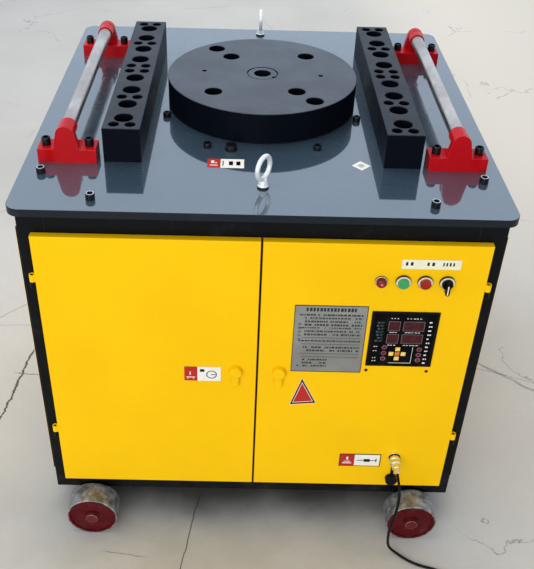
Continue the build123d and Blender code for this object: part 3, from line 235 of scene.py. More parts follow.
for start, end, width, depth in (
    ((-0.72, -0.90), (-0.606, 0.24), 5.5 * MM, 0.95),
    ((-0.120, -0.370), (-0.165, -0.66), 2.6 * MM, 0.85),
    ((0.55, 0.105), (1.30, -0.17), 3.5 * MM, 0.35),
    ((-1.40, 0.200), (-0.606, 0.221), 3.0 * MM, 0.35),
    ((-0.66, 0.02), (-0.51, 0.0), 4.0 * MM, 0.6),
    ((-0.34, -0.54), (-0.22, -0.556), 2.4 * MM, 0.5),
):
    shade = joint_line(start, end, width, shade, depth)
pits = times(tree, between(tree, grain(tree, place, 34, 5, 0.7), 0.70, 0.76), 0.45)
shade = tint(tree, pits, shade, (0.20, 0.20, 0.19))
set_colour(tree, surface, shade)
raised(tree, surface, grain(tree, place, 25, 5), 0.002, 0.25)
floor_mesh.materials.append(concrete)
floor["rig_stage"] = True

world = bpy.data.worlds.new("workshop_sky")
bpy.context.scene.world = world
world.use_nodes = True
sky = world.node_tree
background = sky.nodes["Background"]
ray = put(sky, "LightPath")
mirrored = ray.outputs["Is Glossy Ray"]
sky.links.new(tint(sky, mirrored, (0.95, 0.975, 1.0), (0.70, 0.83, 1.0)), background.inputs[0])
seen = times(sky, ray.outputs["Is Camera Ray"], 0.33)
sky.links.new(sums(sky, "ADD", seen, between(sky, mirrored, 0, 1, 0.52, 1.22)), background.inputs[1])


def soft_light(name, place, aim, size, power):
    """A broad lamp that faces aim."""
    lamp = bpy.data.lights.new(name, "AREA")
    lamp.shape = "RECTANGLE"
    lamp.size, lamp.size_y = size
    lamp.energy = power
    holder = added(name, lamp)
    holder.location = place
    holder.rotation_euler = (Vector(aim) - Vector(place)).to_track_quat("-Z", "Y").to_euler()
    return holder


DOORS_MIDDLE, CABINET_MIDDLE = (0, -0.4, 0.35), (0, 0, 0.5)
soft_light("door_light", (-1.0, -3.9, 1.7), DOORS_MIDDLE, (2.8, 2.2), 90)
for name, place, size, power in (
    ("roof_light", (-0.7, 0.4, 3.6), (3.2, 2.4), 60),
    ("back_window", (0.6, 4.2, 2.0), (3.0, 1.6), 40),
    ("left_window", (-4.2, 0.3, 1.5), (2.4, 1.6), 28),
    ("right_window", (4.2, 0.3, 1.5), (2.4, 1.6), 28),
):
    soft_light(name, place, CABINET_MIDDLE, size, power).visible_glossy = False


CAMERA_PLACE = (-0.0381, -1.6713, 1.5992)
PITCH, YAW, ROLL = 0.6145, 0.0093, 0.0279
FOCAL_MM, SENSOR_MM, SHIFT_X, SHIFT_Y = 52.98, 36, 0.0355, -0.0496


def aimed_camera():
    """Camera a little left of the machine's middle, looking down 35 degrees."""
    level = Vector((math.sin(YAW), math.cos(YAW), 0)) * math.cos(PITCH)
    ahead = level - Vector((0, 0, math.sin(PITCH)))
    right = Vector((math.cos(YAW), -math.sin(YAW), 0))
    up = right.cross(ahead)
    tilted_right = right * math.cos(ROLL) + up * math.sin(ROLL)
    tilted_up = up * math.cos(ROLL) - right * math.sin(ROLL)
    lens = bpy.data.cameras.new("camera")
    lens.lens, lens.sensor_width = FOCAL_MM, SENSOR_MM
    lens.shift_x, lens.shift_y = SHIFT_X, SHIFT_Y
    holder = added("camera", lens)
    turn = Matrix((tilted_right, tilted_up, -ahead)).transposed()
    holder.matrix_world = Matrix.Translation(CAMERA_PLACE) @ turn.to_4x4()
    bpy.context.scene.camera = holder


aimed_camera()
bpy.context.scene.view_settings.view_transform = "Standard"


# ---- Frame: corner posts, rails and centre post ----
# Angle bars welded into a box, then brushed and sprayed with black paint. The flat bar between
# the front rails is what the door latches turn behind.


def paint(
    name, colour, gloss=0.35, peel=0.06, grime=0.25, chalk=0.0, dirt=(0.10, 0.085, 0.065), **sockets
):
    """Sprayed paint: uneven by a few per cent, pimpled like orange skin and dusty in patches."""
    material, tree, surface, place = new_finish(name, gloss, **sockets)
    cloud = between(tree, grain(tree, place, 5, 4), 0.3, 0.7)
    darker = tuple(c * 0.95 for c in colour)
    shade = tint(tree, cloud, darker, colour)
    dust = between(tree, grain(tree, place, 22, 8, 0.65), 0.52, 0.82)
    shade = tint(tree, times(tree, dust, 0.22 * grime), shade, (0.42, 0.39, 0.34))
    low = between(tree, along(tree, place, 2), 0.30, 0.08)
    splash = between(tree, grain(tree, place, 38, 6, 0.6), 0.42, 0.75)
    shade = tint(tree, times(tree, times(tree, low, splash), grime), shade, dirt)
    scuff = between(tree, grain(tree, place, 90, 3, 0.5, (1, 1, 0.06)), 0.66, 0.82)
    shade = tint(tree, times(tree, scuff, 0.06 + chalk), shade, (0.5, 0.5, 0.5))
    set_colour(tree, surface, shade, sums(tree, "ADD", gloss, times(tree, dust, 0.22)))
    raised(tree, surface, grain(tree, place, 260, 2), 0.0006, peel)
    return material


def final_mesh(shape):
    """The object's mesh with its modifiers applied, which are then removed."""
    bpy.context.view_layer.update()
    done = bpy.data.meshes.new_from_object(shape.evaluated_get(bpy.context.evaluated_depsgraph_get()))
    shape.modifiers.clear()
    shape.data = done
    return done


def flatten(shape, angle=35):
    """Smooth shading that keeps flat faces flat, by weighing each face's normal by its area."""
    shape.data.shade_smooth()
    shape.data.set_sharp_from_angle(angle=math.radians(angle))
    weighing = shape.modifiers.new("weighing", "WEIGHTED_NORMAL")
    weighing.keep_sharp = True
    final_mesh(shape)


def new_piece(name, mesh, body, *materials, angle=35, slot=None):
    """A mesh as a piece that rides on a body."""
    mesh.name = name
    shape = added(name, mesh)
    for material in materials:
        mesh.materials.append(material)
    flatten(shape, angle)
    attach(shape, body)
    return shape


SAME_PLACE = 2e-6


def eased(node, width, material, segments=2, angle=30, worn=None):
    """The piece that a CAD node stands for, its edges rounded as on the real one and perhaps given a second
    finish for wear or a painted highlight.
    """
    mesh = nodes[node].data.copy()
    shell = bmesh.new()
    shell.from_mesh(mesh)
    bmesh.ops.remove_doubles(shell, verts=shell.verts, dist=SAME_PLACE)
    bmesh.ops.dissolve_limit(shell, angle_limit=math.radians(0.6), verts=shell.verts, edges=shell.edges)
    shell.to_mesh(mesh)
    shell.free()
    if mesh.has_custom_normals:
        mesh.attributes.remove(mesh.attributes["custom_normal"])
    mesh.materials.clear()
    mesh.materials.append(material)
    mesh.materials.append(worn or material)
    shape = added(node + "_piece", mesh)
    rounding = shape.modifiers.new("rounding", "BEVEL")
    rounding.width = width
    rounding.segments = segments
    rounding.limit_method = "ANGLE"
    rounding.angle_limit = math.radians(angle)
    rounding.material = 1
    final_mesh(shape)
    flatten(shape, angle)
    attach(shape, nodes[node]["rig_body"])
    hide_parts(node)
    return shape


black_paint = paint(
    "black_paint", (0.0045, 0.005, 0.006), 0.36, 0.08, 0.12, chalk=-0.05, Specular_IOR_Level=0.08
)
black_edge = paint(
    "black_paint_rubbed", (0.012, 0.012, 0.013), 0.42, 0.08, 0.2, chalk=-0.02, Specular_IOR_Level=0.2
)
for node in ("frame_posts", "frame_rails", "centre_post", "bottom_tray", "axle_blocks"):
    eased(node, 0.8 * MM, black_paint, worn=black_edge)


# ---- Wheels and axles ----
# Four solid cast-iron wheels on shoulder bolts. The castings are dipped in maroon paint, which
# the floor has worn off the treads, and the outer rims are rusty grey.

wheel_low, wheel_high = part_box("front_right_wheel")
WHEEL_R = (wheel_high.z - wheel_low.z) / 2
WHEEL_X = (wheel_low.x + wheel_high.x) / 2


def distance(tree, a, b):
    """Distance of a point from an axis, from its two offsets across the axis."""
    flat = put(tree, "CombineXYZ", {0: a, 1: b, 2: 0.0}).outputs[0]
    return put(tree, "VectorMath", {0: flat}, operation="LENGTH").outputs[1]


def from_axle(tree, place):
    """Distance from the axle's line, the same for all four wheels."""
    across = sums(tree, "SUBTRACT", sums(tree, "ABSOLUTE", along(tree, place, 0)), WHEEL_X)
    return distance(tree, across, sums(tree, "SUBTRACT", along(tree, place, 2), WHEEL_R))


def wheel_finish():
    """Maroon casting, bare and scuffed on the tread and the outer rim."""
    material, tree, surface, place = new_finish("maroon_casting", 0.5, Specular_IOR_Level=0.1)
    radius = from_axle(tree, place)
    ragged = times(tree, sums(tree, "SUBTRACT", grain(tree, place, 120, 6), 0.5), 0.007)
    worn = between(tree, sums(tree, "ADD", radius, ragged), WHEEL_R - 3.6 * MM, WHEEL_R - 1.8 * MM)
    mottle = between(tree, grain(tree, place, 70, 6, 0.65), 0.35, 0.7)
    maroon = tint(tree, mottle, (0.060, 0.0035, 0.005), (0.120, 0.005, 0.009))
    steel = tint(tree, mottle, (0.145, 0.15, 0.155), (0.40, 0.405, 0.41))
    rust = between(tree, grain(tree, place, 45, 7, 0.7), 0.55, 0.72)
    steel = tint(tree, times(tree, rust, 0.22), steel, (0.14, 0.060, 0.050))
    shade = tint(tree, worn, maroon, steel)
    dusty = between(tree, grain(tree, place, 30, 5), 0.5, 0.8)
    shade = tint(tree, times(tree, dusty, 0.05), shade, (0.40, 0.37, 0.33))
    set_colour(tree, surface, shade, between(tree, mottle, 0, 1, 0.40, 0.60))
    tree.links.new(times(tree, worn, 0.6), surface.inputs["Metallic"])
    raised(tree, surface, grain(tree, place, 190, 5, 0.6), 0.0014, 0.3)
    return material


def mottled(name, patches, turn, colours, gloss, relief, depth, metallic=0.0, **sockets):
    """A finish that turns from one colour and gloss to another in patches, over a fine relief."""
    material, tree, surface, place = new_finish(name, gloss[0], metallic, **sockets)
    share = between(tree, grain(tree, place, *patches), *turn)
    set_colour(tree, surface, tint(tree, share, *colours), between(tree, share, 0, 1, *gloss))
    raised(tree, surface, grain(tree, place, *relief), *depth)
    return material


def worn_steel(name, colour, rough):
    """Bare steel where paint or blackening has rubbed off an edge."""
    dull = tuple(c * 0.35 for c in colour)
    return mottled(
        name, (160, 6, 0.6), (0.35, 0.68), (dull, colour), (rough + 0.2, rough),
        (600, 3), (0.0003, 0.25), metallic=1.0,
    )


casting = wheel_finish()
for end in ("front", "back"):
    for side in ("left", "right"):
        eased(f"{end}_{side}_wheel", 1.2 * MM, casting, 3)

maroon_bolt = paint("maroon_bolt", (0.12, 0.006, 0.010), 0.42, 0.12, 0.2, Specular_IOR_Level=0.25)
rubbed_edge = worn_steel("rubbed_bolt_edge", (0.55, 0.50, 0.48), 0.3)
eased("axle_bolts", 0.9 * MM, maroon_bolt, worn=rubbed_edge)


# ---- Gearbox and motor ----
# Under the plate hangs a cast case with three pairs of gears, and under it a finned motor with
# a pressed cowl. The castings are grey, the motor blue-grey, and the gears oiled steel.


def dress(node, material):
    """A new material on a CAD node that stays as it is."""
    nodes[node].material_slots[0].material = material


def oiled_steel(name, colour):
    """Cut steel under a film of oil, which darkens it where it pools."""
    pooled = tuple(c * 0.55 for c in colour)
    return mottled(
        name, (30, 6), (0.35, 0.7), (pooled, colour), (0.2, 0.42),
        (700, 2, 0.5, (1, 1, 12)), (0.0002, 0.2), metallic=1.0,
    )


def casting_paint(name, colour, gloss):
    """Thick paint on a sand casting, which shows the sand's grain through it."""
    material, tree, surface, place = new_finish(name, gloss)
    pits = grain(tree, place, 240, 5, 0.6)
    oily = between(tree, grain(tree, place, 9, 6), 0.45, 0.75)
    darker = tuple(c * 0.55 for c in colour)
    shade = tint(tree, times(tree, oily, 0.6), colour, darker)
    chalky = between(tree, pits, 0.55, 0.75)
    lighter = tuple(min(1.0, c * 1.5 + 0.02) for c in colour)
    shade = tint(tree, times(tree, chalky, 0.35), shade, lighter)
    set_colour(tree, surface, shade, between(tree, oily, 0, 1, gloss + 0.15, gloss - 0.1))
    raised(tree, surface, pits, 0.0012, 0.45)
    return material


gear_steel = oiled_steel("oiled_gear_steel", (0.42, 0.41, 0.39))
race_steel = oiled_steel("polished_race_steel", (0.62, 0.62, 0.63))
case_paint = casting_paint("grey_casting_paint", (0.17, 0.18, 0.18), 0.5)
motor_paint = casting_paint("motor_paint", (0.06, 0.13, 0.19), 0.42)
for node in ("bull_gear", "second_shaft", "second_gear", "first_shaft", "first_gear", "motor_rotor"):
    dress(node, gear_steel)
dress("gearbox_bearings", race_steel)
eased("gear_case", 1.5 * MM, case_paint)
eased("gear_cover", 1.2 * MM, case_paint)
eased("motor_housing", 0.8 * MM, motor_paint)
eased("fan_cowl", 0.6 * MM, motor_paint)


def moulding(name, colour, gloss=0.4, grit=0.12, **sockets):
    """Moulded plastic with a fine spark-eroded texture and a few scuffs."""
    scuffed = tuple(min(1.0, c * 1.3 + 0.006) for c in colour)
    return mottled(
        name, (35, 5), (0.45, 0.8), (colour, scuffed), (gloss, gloss + 0.2),
        (1800, 2), (0.00015, grit), **sockets,
    )


black_moulding = moulding("black_moulding", (0.010, 0.010, 0.011), 0.42)
dress("motor_fan", black_moulding)


def wall(shell, lower, upper):
    """Faces between two rings of corners."""
    for step in range(len(lower)):
        after = (step + 1) % len(lower)
        shell.faces.new((lower[step], lower[after], upper[after], upper[step]))


def as_mesh(shell, name):
    mesh = bpy.data.meshes.new(name)
    shell.to_mesh(mesh)
    shell.free()
    return mesh


def ringed(loops, sides=32, hollow=False):
    """Closed mesh about Z from rings of (radius, height). A radius may be a function of the angle."""
    shell = bmesh.new()
    rings = []
    for radius, height in loops:
        ring = []
        for step in range(sides):
            angle = 2 * math.pi * step / sides
            reach = radius(angle) if callable(radius) else radius
            ring.append(shell.verts.new((reach * math.cos(angle), reach * math.sin(angle), height)))
        rings.append(ring)
    pairs = list(zip(rings, rings[1:])) + ([(rings[-1], rings[0])] if hollow else [])
    for lower, upper in pairs:
        wall(shell, lower, upper)
    if not hollow:
        shell.faces.new(list(reversed(rings[0])))
        shell.faces.new(rings[-1])
    bmesh.ops.recalc_face_normals(shell, faces=shell.faces)
    return as_mesh(shell, "ringed")


def hexagon(flats):
    """Radius of a hexagon of that width across flats, at any angle."""
    return lambda angle: flats / 2 / math.cos(angle % (math.pi / 3) - math.pi / 6)


def set_out(name, template, places, out, material, body, seed=1):
    """Copies of a small part, one at each place, standing out of it, each turned its own way."""
    seat = bpy.data.meshes.new(name + "_places")
    seat.from_pydata([Vector(p) for p in places], [], [])
    holder, pattern = added(name, seat), added(name + "_pattern", template)
    tree = bpy.data.node_groups.new(name + "_layout", "GeometryNodeTree")
    face = tree.interface
    face.new_socket("Geometry", in_out="INPUT", socket_type="NodeSocketGeometry")
    part = face.new_socket("Part", in_out="INPUT", socket_type="NodeSocketObject")
    stand = face.new_socket("Standing", in_out="INPUT", socket_type="NodeSocketVector")
    face.new_socket("Geometry", in_out="OUTPUT", socket_type="NodeSocketGeometry")
    make = tree.nodes.new
    source, result = make("NodeGroupInput"), make("NodeGroupOutput")
    info, copies = make("GeometryNodeObjectInfo"), make("GeometryNodeInstanceOnPoints")
    chance, twist = make("FunctionNodeRandomValue"), make("ShaderNodeCombineXYZ")
    roll, real = make("GeometryNodeRotateInstances"), make("GeometryNodeRealizeInstances")
    coat = make("GeometryNodeSetMaterial")
    chance.data_type = "FLOAT"
    chance.inputs["Seed"].default_value = seed
    chance.inputs[3].default_value = 2 * math.pi
    coat.inputs["Material"].default_value = material
    link = tree.links.new
    link(source.outputs["Part"], info.inputs["Object"])
    link(source.outputs["Geometry"], copies.inputs["Points"])
    link(info.outputs["Geometry"], copies.inputs["Instance"])
    link(source.outputs["Standing"], copies.inputs["Rotation"])
    link(chance.outputs[1], twist.inputs[2])
    link(copies.outputs[0], roll.inputs["Instances"])
    link(twist.outputs[0], roll.inputs["Rotation"])
    link(roll.outputs[0], real.inputs[0])
    link(real.outputs[0], coat.inputs[0])
    link(coat.outputs[0], result.inputs[0])
    layout = holder.modifiers.new("layout", "NODES")
    layout.node_group = tree
    layout[part.identifier] = pattern
    layout[stand.identifier] = Vector(out).to_track_quat("Z", "Y").to_euler()[:]
    final_mesh(holder)
    bpy.data.objects.remove(pattern)
    flatten(holder)
    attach(holder, body)
    return holder


def hex_head(flats, height):
    """Chamfered hexagon head on a thin washer face."""
    six = hexagon(flats)
    chamfered = lambda angle: min(six(angle), flats * 0.55)
    loops = [(flats * 0.52, 0), (flats * 0.52, height * 0.08), (six, height * 0.1), (six, height * 0.85)]
    return ringed(loops + [(chamfered, height * 0.95), (flats * 0.47, height), (flats * 0.1, height)], 36)


def facing(tree, axis, low, high):
    """Share of a surface that faces along an axis, 0 for X to 2 for Z."""
    return between(tree, along(tree, put(tree, "NewGeometry").outputs["Normal"], axis), low, high)


def black_oxide(name, crown=0.0):
    """Black oxide on steel screws: matt black, grey where rubbed, and perhaps a painted highlight on the
    crown.
    """
    material, tree, surface, place = new_finish(name, 0.4, 0.7)
    rubbed = between(tree, grain(tree, place, 210, 6), 0.5, 0.75)
    shade = tint(tree, rubbed, (0.009, 0.009, 0.011), (0.034, 0.034, 0.036))
    if crown:
        # Painted highlight: faces that look up turn pale grey, as much as crown asks.
        top_highlight = times(tree, facing(tree, 2, 0.75, 0.95), crown)
        shade = tint(tree, top_highlight, shade, (0.74, 0.76, 0.80))
    set_colour(tree, surface, shade, between(tree, rubbed, 0, 1, 0.34, 0.5))
    raised(tree, surface, grain(tree, place, 900, 3), 0.0002, 0.25)
    return material


black_steel = black_oxide("black_oxide")
cover_low, cover_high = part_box("gear_cover")
ROW_IN, COVER_HEAD_FLATS, COVER_HEAD_H = 9 * MM, 13 * MM, 6 * MM
cover_places = []
for share in (0.04, 0.27, 0.5, 0.73, 0.96):
    x = cover_low.x + share * (cover_high.x - cover_low.x)
    y = cover_low.y + share * (cover_high.y - cover_low.y)
    cover_places += [(x, cover_low.y + ROW_IN, cover_low.z), (x, cover_high.y - ROW_IN, cover_low.z)]
    if 0.1 < share < 0.9:
        cover_places += [(cover_low.x + ROW_IN, y, cover_low.z), (cover_high.x - ROW_IN, y, cover_low.z)]
cover_bolt = hex_head(COVER_HEAD_FLATS, COVER_HEAD_H)
set_out("cover_bolts", cover_bolt, cover_places, (0, 0, -1), black_steel, "cabinet")


# ---- Electrical box ----
# A welded sheet box for the contactors, painted light grey, with a separate lid that four
# screws hold on its front.


def round_head(radius, height):
    """Pan-head screw with a cross recess, crown up along Z."""
    arm, waist = radius * 0.55, radius * 0.17

    def cross(angle):
        near = abs((angle + math.pi / 4) % (math.pi / 2) - math.pi / 4)
        return min(arm / math.cos(near), waist / max(math.sin(near), 1e-6))

    loops = [(radius, 0), (radius, height * 0.3), (radius * 0.88, height * 0.72), (radius * 0.62, height)]
    return ringed(loops + [(cross, height), (cross, height * 0.45)], 48)


def slab(x, y, z, rounding=0.0):
    """Closed mesh of a plate between two corners, each axis given as (low, high), with eased edges."""
    shell = bmesh.new()
    bmesh.ops.create_cube(shell, size=1.0)
    size = [high - low for low, high in (x, y, z)]
    middle = [(high + low) / 2 for low, high in (x, y, z)]
    bmesh.ops.scale(shell, vec=size, verts=shell.verts)
    bmesh.ops.translate(shell, vec=middle, verts=shell.verts)
    if rounding:
        edges = shell.edges[:]
        bmesh.ops.bevel(shell, geom=edges, offset=rounding, segments=2, profile=0.5, affect="EDGES")
    return as_mesh(shell, "slab")


def merged(meshes):
    """Several meshes in one."""
    shell = bmesh.new()
    for mesh in meshes:
        shell.from_mesh(mesh)
        bpy.data.meshes.remove(mesh)
    return as_mesh(shell, "merged")


box_paint = paint("box_paint", (0.50, 0.52, 0.51), 0.42, 0.3, 0.4)
box_low, box_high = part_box("electrical_box")
eased("electrical_box", 1.2 * MM, box_paint)
LID_IN, LID_T, LID_EDGE, SCREW_IN = 6 * MM, 2.5 * MM, 0.8 * MM, 15 * MM
SUNK = 0.5 * MM
lid = slab(
    (box_low.x + LID_IN, box_high.x - LID_IN),
    (box_low.y - LID_T, box_low.y + SUNK),
    (box_low.z + LID_IN, box_high.z - LID_IN),
    LID_EDGE,
)
new_piece("box_lid", lid, "cabinet", box_paint, slot="box_paint")
lid_places = [
    (x, box_low.y - LID_T, z)
    for x in (box_low.x + SCREW_IN, box_high.x - SCREW_IN)
    for z in (box_low.z + SCREW_IN, box_high.z - SCREW_IN)
]
bright_zinc = mottled(
    "bright_zinc", (120, 5), (0.35, 0.7), ((0.62, 0.62, 0.60), (0.86, 0.86, 0.84)), (0.32, 0.2),
    (900, 3), (0.0001, 0.2), metallic=1.0,
)
PAN_R, LID_PAN_H = 4.5 * MM, 2.4 * MM
lid_screw = round_head(PAN_R, LID_PAN_H)
set_out("lid_screws", lid_screw, lid_places, (0, -1, 0), bright_zinc, "cabinet")


# ---- Side and back panels ----
# Folded sheet covers over the frame, sprayed the same yellow as the doors. Each is held by
# pan-head screws near its edges; the back one is punched with vent slots.

YELLOW, YELLOW_DIRT = (0.965, 0.565, 0.003), (0.30, 0.20, 0.05)
yellow_paint = paint(
    "yellow_paint", YELLOW, 0.38, 0.05, 0.03, -0.05, YELLOW_DIRT, Specular_IOR_Level=0.08
)
glossy_yellow = paint("glossy_yellow_paint", YELLOW, 0.28, 0.05, 0.10, -0.04, YELLOW_DIRT)
for node in ("left_side_panel", "right_side_panel", "back_panel"):
    cover = eased(node, 0.5 * MM, glossy_yellow)
    cover.data.materials.append(black_paint)
    for face in cover.data.polygons:
        if face.normal.y < -0.9:
            face.material_index = 2

PANEL_SCREW_IN, PANEL_PAN_H, SCREWS_IN_ROW = 12 * MM, 2.2 * MM, 4
for node, out, seed in (
    ("left_side_panel", (-1, 0, 0), 2), ("right_side_panel", (1, 0, 0), 4), ("back_panel", (0, 1, 0), 7)
):
    low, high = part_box(node)
    through, across = (0, 1) if out[0] else (1, 0)
    pitch = (high[across] - low[across] - 2 * PANEL_SCREW_IN) / (SCREWS_IN_ROW - 1)
    places = []
    for step in range(SCREWS_IN_ROW):
        for z in (low.z + PANEL_SCREW_IN, high.z - PANEL_SCREW_IN):
            spot = Vector((0, 0, z))
            spot[through] = high[through] if out[through] > 0 else low[through]
            spot[across] = low[across] + PANEL_SCREW_IN + step * pitch
            places.append(spot)
    panel_screw = round_head(PAN_R, PANEL_PAN_H)
    set_out(node + "_screws", panel_screw, places, out, bright_zinc, "cabinet", seed)


# ---- Table plate ----
# A ground steel plate with round corners, sprayed dark blue-grey and lacquered, so that it
# mirrors what stands on it. Bars dragged over it leave fine scratches.

plate_low, plate_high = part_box("table_plate")
TABLE_TOP = plate_high.z


def lacquered_plate():
    """Dark paint under a mirror-bright lacquer, with dust, smears and the drag marks of bars."""
    material, tree, surface, place = new_finish(
        "lacquered_plate", 0.30,
        Coat_Weight=1.0, Coat_IOR=2.48, Coat_Roughness=0.045, Specular_IOR_Level=0.12,
    )
    cloud = between(tree, grain(tree, place, 4, 5), 0.3, 0.7)
    shade = tint(tree, cloud, (0.033, 0.057, 0.083), (0.040, 0.067, 0.097))
    dust = between(tree, grain(tree, place, 55, 8, 0.7), 0.58, 0.85)
    shade = tint(tree, times(tree, dust, 0.03), shade, (0.34, 0.34, 0.33))
    drag = between(tree, grain(tree, place, 60, 4, 0.6, (0.12, 3.0, 1)), 0.70, 0.80)
    shade = tint(tree, times(tree, drag, 0.05), shade, (0.30, 0.33, 0.36))
    smear = between(tree, grain(tree, place, 14, 6, 0.6), 0.4, 0.75)
    set_colour(tree, surface, shade, between(tree, smear, 0, 1, 0.26, 0.42))
    raised(tree, surface, grain(tree, place, 12, 2), 0.0006, 0.05)
    return material


plate_finish = lacquered_plate()
plate_edge = paint(
    "plate_edge_paint", (0.007, 0.011, 0.017), 0.34, 0.1, 0.15, chalk=-0.02, Specular_IOR_Level=0.2
)
plate = eased("table_plate", 0.6 * MM, plate_finish, worn=plate_edge)
for face in plate.data.polygons:
    if face.normal.z < 0.9:
        face.material_index = 1


# ---- Work disc and spindle ----
# A thick disc faced on a lathe and blackened, its top rubbed bright grey by the bars. The
# spindle's nose comes up through its middle, with a turned groove round the joint.

disc_low, disc_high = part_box("work_disc")
DISC_TOP = disc_high.z
DISC_MIDDLE = (disc_low + disc_high) / 2


def turned_grooves(tree, place, centre, fine):
    """Height of the fine rings that a lathe leaves about an upright axis."""
    shifted = put(tree, "Mapping", {"Vector": place, "Location": (-centre.x, -centre.y, 0)}).outputs[0]
    radius = distance(tree, along(tree, shifted, 0), along(tree, shifted, 1))
    ring = put(tree, "CombineXYZ", {0: radius, 1: 0.0, 2: 0.0}).outputs[0]
    return grain(tree, ring, fine, 3, 0.6)


def blackened(name, top_z, top, side, gloss, centre=None):
    """Blackened steel: satin grey where bars rub its top, nearly black on the sides and in the bores."""
    material, tree, surface, place = new_finish(name, gloss, Specular_IOR_Level=0.03)
    near_top = between(tree, along(tree, place, 2), top_z - 5 * MM, top_z - 3 * MM)
    rubbed = times(tree, facing(tree, 2, 0.35, 0.9), near_top)
    cloud = between(tree, grain(tree, place, 9, 6, 0.6), 0.3, 0.72)
    dull = tuple(c * 0.84 for c in top)
    face = tint(tree, cloud, dull, top)
    fleck = between(tree, grain(tree, place, 260, 4, 0.6), 0.62, 0.78)
    face = tint(tree, times(tree, fleck, 0.25), face, tuple(c * 0.45 for c in top))
    shade = tint(tree, rubbed, side, face)
    set_colour(tree, surface, shade, between(tree, cloud, 0, 1, gloss + 0.06, gloss))
    tree.links.new(times(tree, rubbed, 0.92), surface.inputs["Metallic"])
    if centre:
        raised(tree, surface, turned_grooves(tree, place, centre, 1400), 0.00006, 0.5)
    else:
        raised(tree, surface, grain(tree, place, 500, 3, 0.6, (1, 0.05, 1)), 0.0002, 0.3)
    return material


disc_finish = blackened(
    "blackened_disc", DISC_TOP, (0.127, 0.130, 0.139), (0.0022, 0.0035, 0.0065), 0.36, DISC_MIDDLE
)
disc_rim = worn_steel("rubbed_disc_edge", (0.20, 0.22, 0.25), 0.34)
eased("work_disc", 0.35 * MM, disc_finish, worn=disc_rim)
nose_finish = blackened(
    "spindle_nose", DISC_TOP, (0.130, 0.133, 0.145), (0.005, 0.0065, 0.010), 0.34, DISC_MIDDLE
)
eased("spindle", 0.35 * MM, nose_finish, worn=disc_rim)


# ---- Hole blocks ----
# Two blackened steel bars with bores for stop pins. Hexagon-socket screws, sunk in
# counterbores, hold them to the table.

BLOCK_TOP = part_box("left_hole_block")[1].z
# The left block's top is painted lighter than the right one's: painted light, as if it falls from the upper
# left.
for side, top in (("left", (0.062, 0.062, 0.068)), ("right", (0.042, 0.043, 0.048))):
    block_finish = blackened(f"blackened_{side}_block", BLOCK_TOP, top, (0.0030, 0.0042, 0.0080), 0.40)
    block_edge = worn_steel(f"rubbed_{side}_block_edge", tuple(c * 0.9 for c in top), 0.4)
    eased(f"{side}_hole_block", 0.35 * MM, block_finish, worn=block_edge)


def socket_screw(head_r, head_h, flats, shank_r, shank_l):
    """Knurled cap screw with a hexagon socket, its head standing on z = 0."""
    six = hexagon(flats)
    teeth = lambda angle: head_r * (1 - 0.022 * (round(angle * 24 / math.pi) % 2))
    break_h = min(1.0 * MM, head_h * 0.12)
    outside = [(shank_r * 0.8, -shank_l), (shank_r, -shank_l + break_h), (shank_r, 0), (head_r * 0.95, 0)]
    outside += [(teeth, break_h * 0.6), (teeth, head_h - 2 * break_h), (head_r * 0.96, head_h - break_h)]
    outside += [(head_r * 0.86, head_h), (lambda angle: six(angle) * 1.06, head_h)]
    inside = [(six, head_h - 0.4 * MM), (six, head_h * 0.5), (flats * 0.1, head_h * 0.4)]
    return ringed(outside + inside, 48)


def head_centres(node, seat_z, head_r):
    """Where the heads of a node's screws stand: the middles of its separate solids that pass seat_z."""
    shell = bmesh.new()
    shell.from_mesh(nodes[node].data)
    bmesh.ops.remove_doubles(shell, verts=shell.verts, dist=SAME_PLACE)
    unseen, centres = set(shell.verts), []
    while unseen:
        start = unseen.pop()
        solid, edge = [start], [start]
        while edge:
            for link in edge.pop().link_edges:
                for vert in link.verts:
                    if vert in unseen:
                        unseen.remove(vert)
                        solid.append(vert)
                        edge.append(vert)
        low = Vector(min(v.co[i] for v in solid) for i in range(3))
        high = Vector(max(v.co[i] for v in solid) for i in range(3))
        if high.z > seat_z + 1 * MM and abs((high.x - low.x) / 2 - head_r) < 0.4 * MM:
            centres.append((round((low.x + high.x) / 2, 5), round((low.y + high.y) / 2, 5), seat_z))
    shell.free()
    return sorted(centres)


M12_HEAD_R, M12_HEAD_H, M12_SHANK_R, M12_FLATS = 8.5 * MM, 12 * MM, 6 * MM, 10 * MM
screw_low, screw_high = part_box("block_screws")
seat = screw_high.z - M12_HEAD_H
block_screw = socket_screw(M12_HEAD_R, M12_HEAD_H, M12_FLATS, M12_SHANK_R, seat - screw_low.z)
places = head_centres("block_screws", seat, M12_HEAD_R)
screws = set_out(
    "block_cap_screws", block_screw, places, (0, 0, 1), black_steel, "cabinet", 11
)
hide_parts("block_screws")


# ---- Rollers and their brackets ----
# A steel tube on each side turns on an axle between two cast brackets, painted gloss red. Two
# socket screws hold each bracket.

gloss_red = paint(
    "gloss_red_paint", (0.47, 0.0035, 0.0075), 0.24, 0.10, 0.03, -0.05, (0.12, 0.03, 0.02),
    Specular_IOR_Level=0.12,
)
# Lighter red on the brackets' rounded edges: partly worn paint, partly a painted highlight.
red_edge_wear_and_highlight = paint("gloss_red_edge", (0.60, 0.035, 0.045), 0.26, 0.10, 0.1, -0.02, (0.2, 0.05, 0.04))
for side in ("left", "right"):
    eased(f"{side}_roller_brackets", 1.0 * MM, gloss_red, 3, worn=red_edge_wear_and_highlight)

screw_low, screw_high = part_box("bracket_screws")
BRACKET_HEAD_H = 15 * MM
seat = screw_high.z - BRACKET_HEAD_H
tall_screw = socket_screw(M12_HEAD_R, BRACKET_HEAD_H, M12_FLATS, M12_SHANK_R, seat - screw_low.z)
places = head_centres("bracket_screws", seat, M12_HEAD_R)
screws = set_out(
    "bracket_cap_screws", tall_screw, places, (0, 0, 1), black_steel, "cabinet", 12
)
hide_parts("bracket_screws")


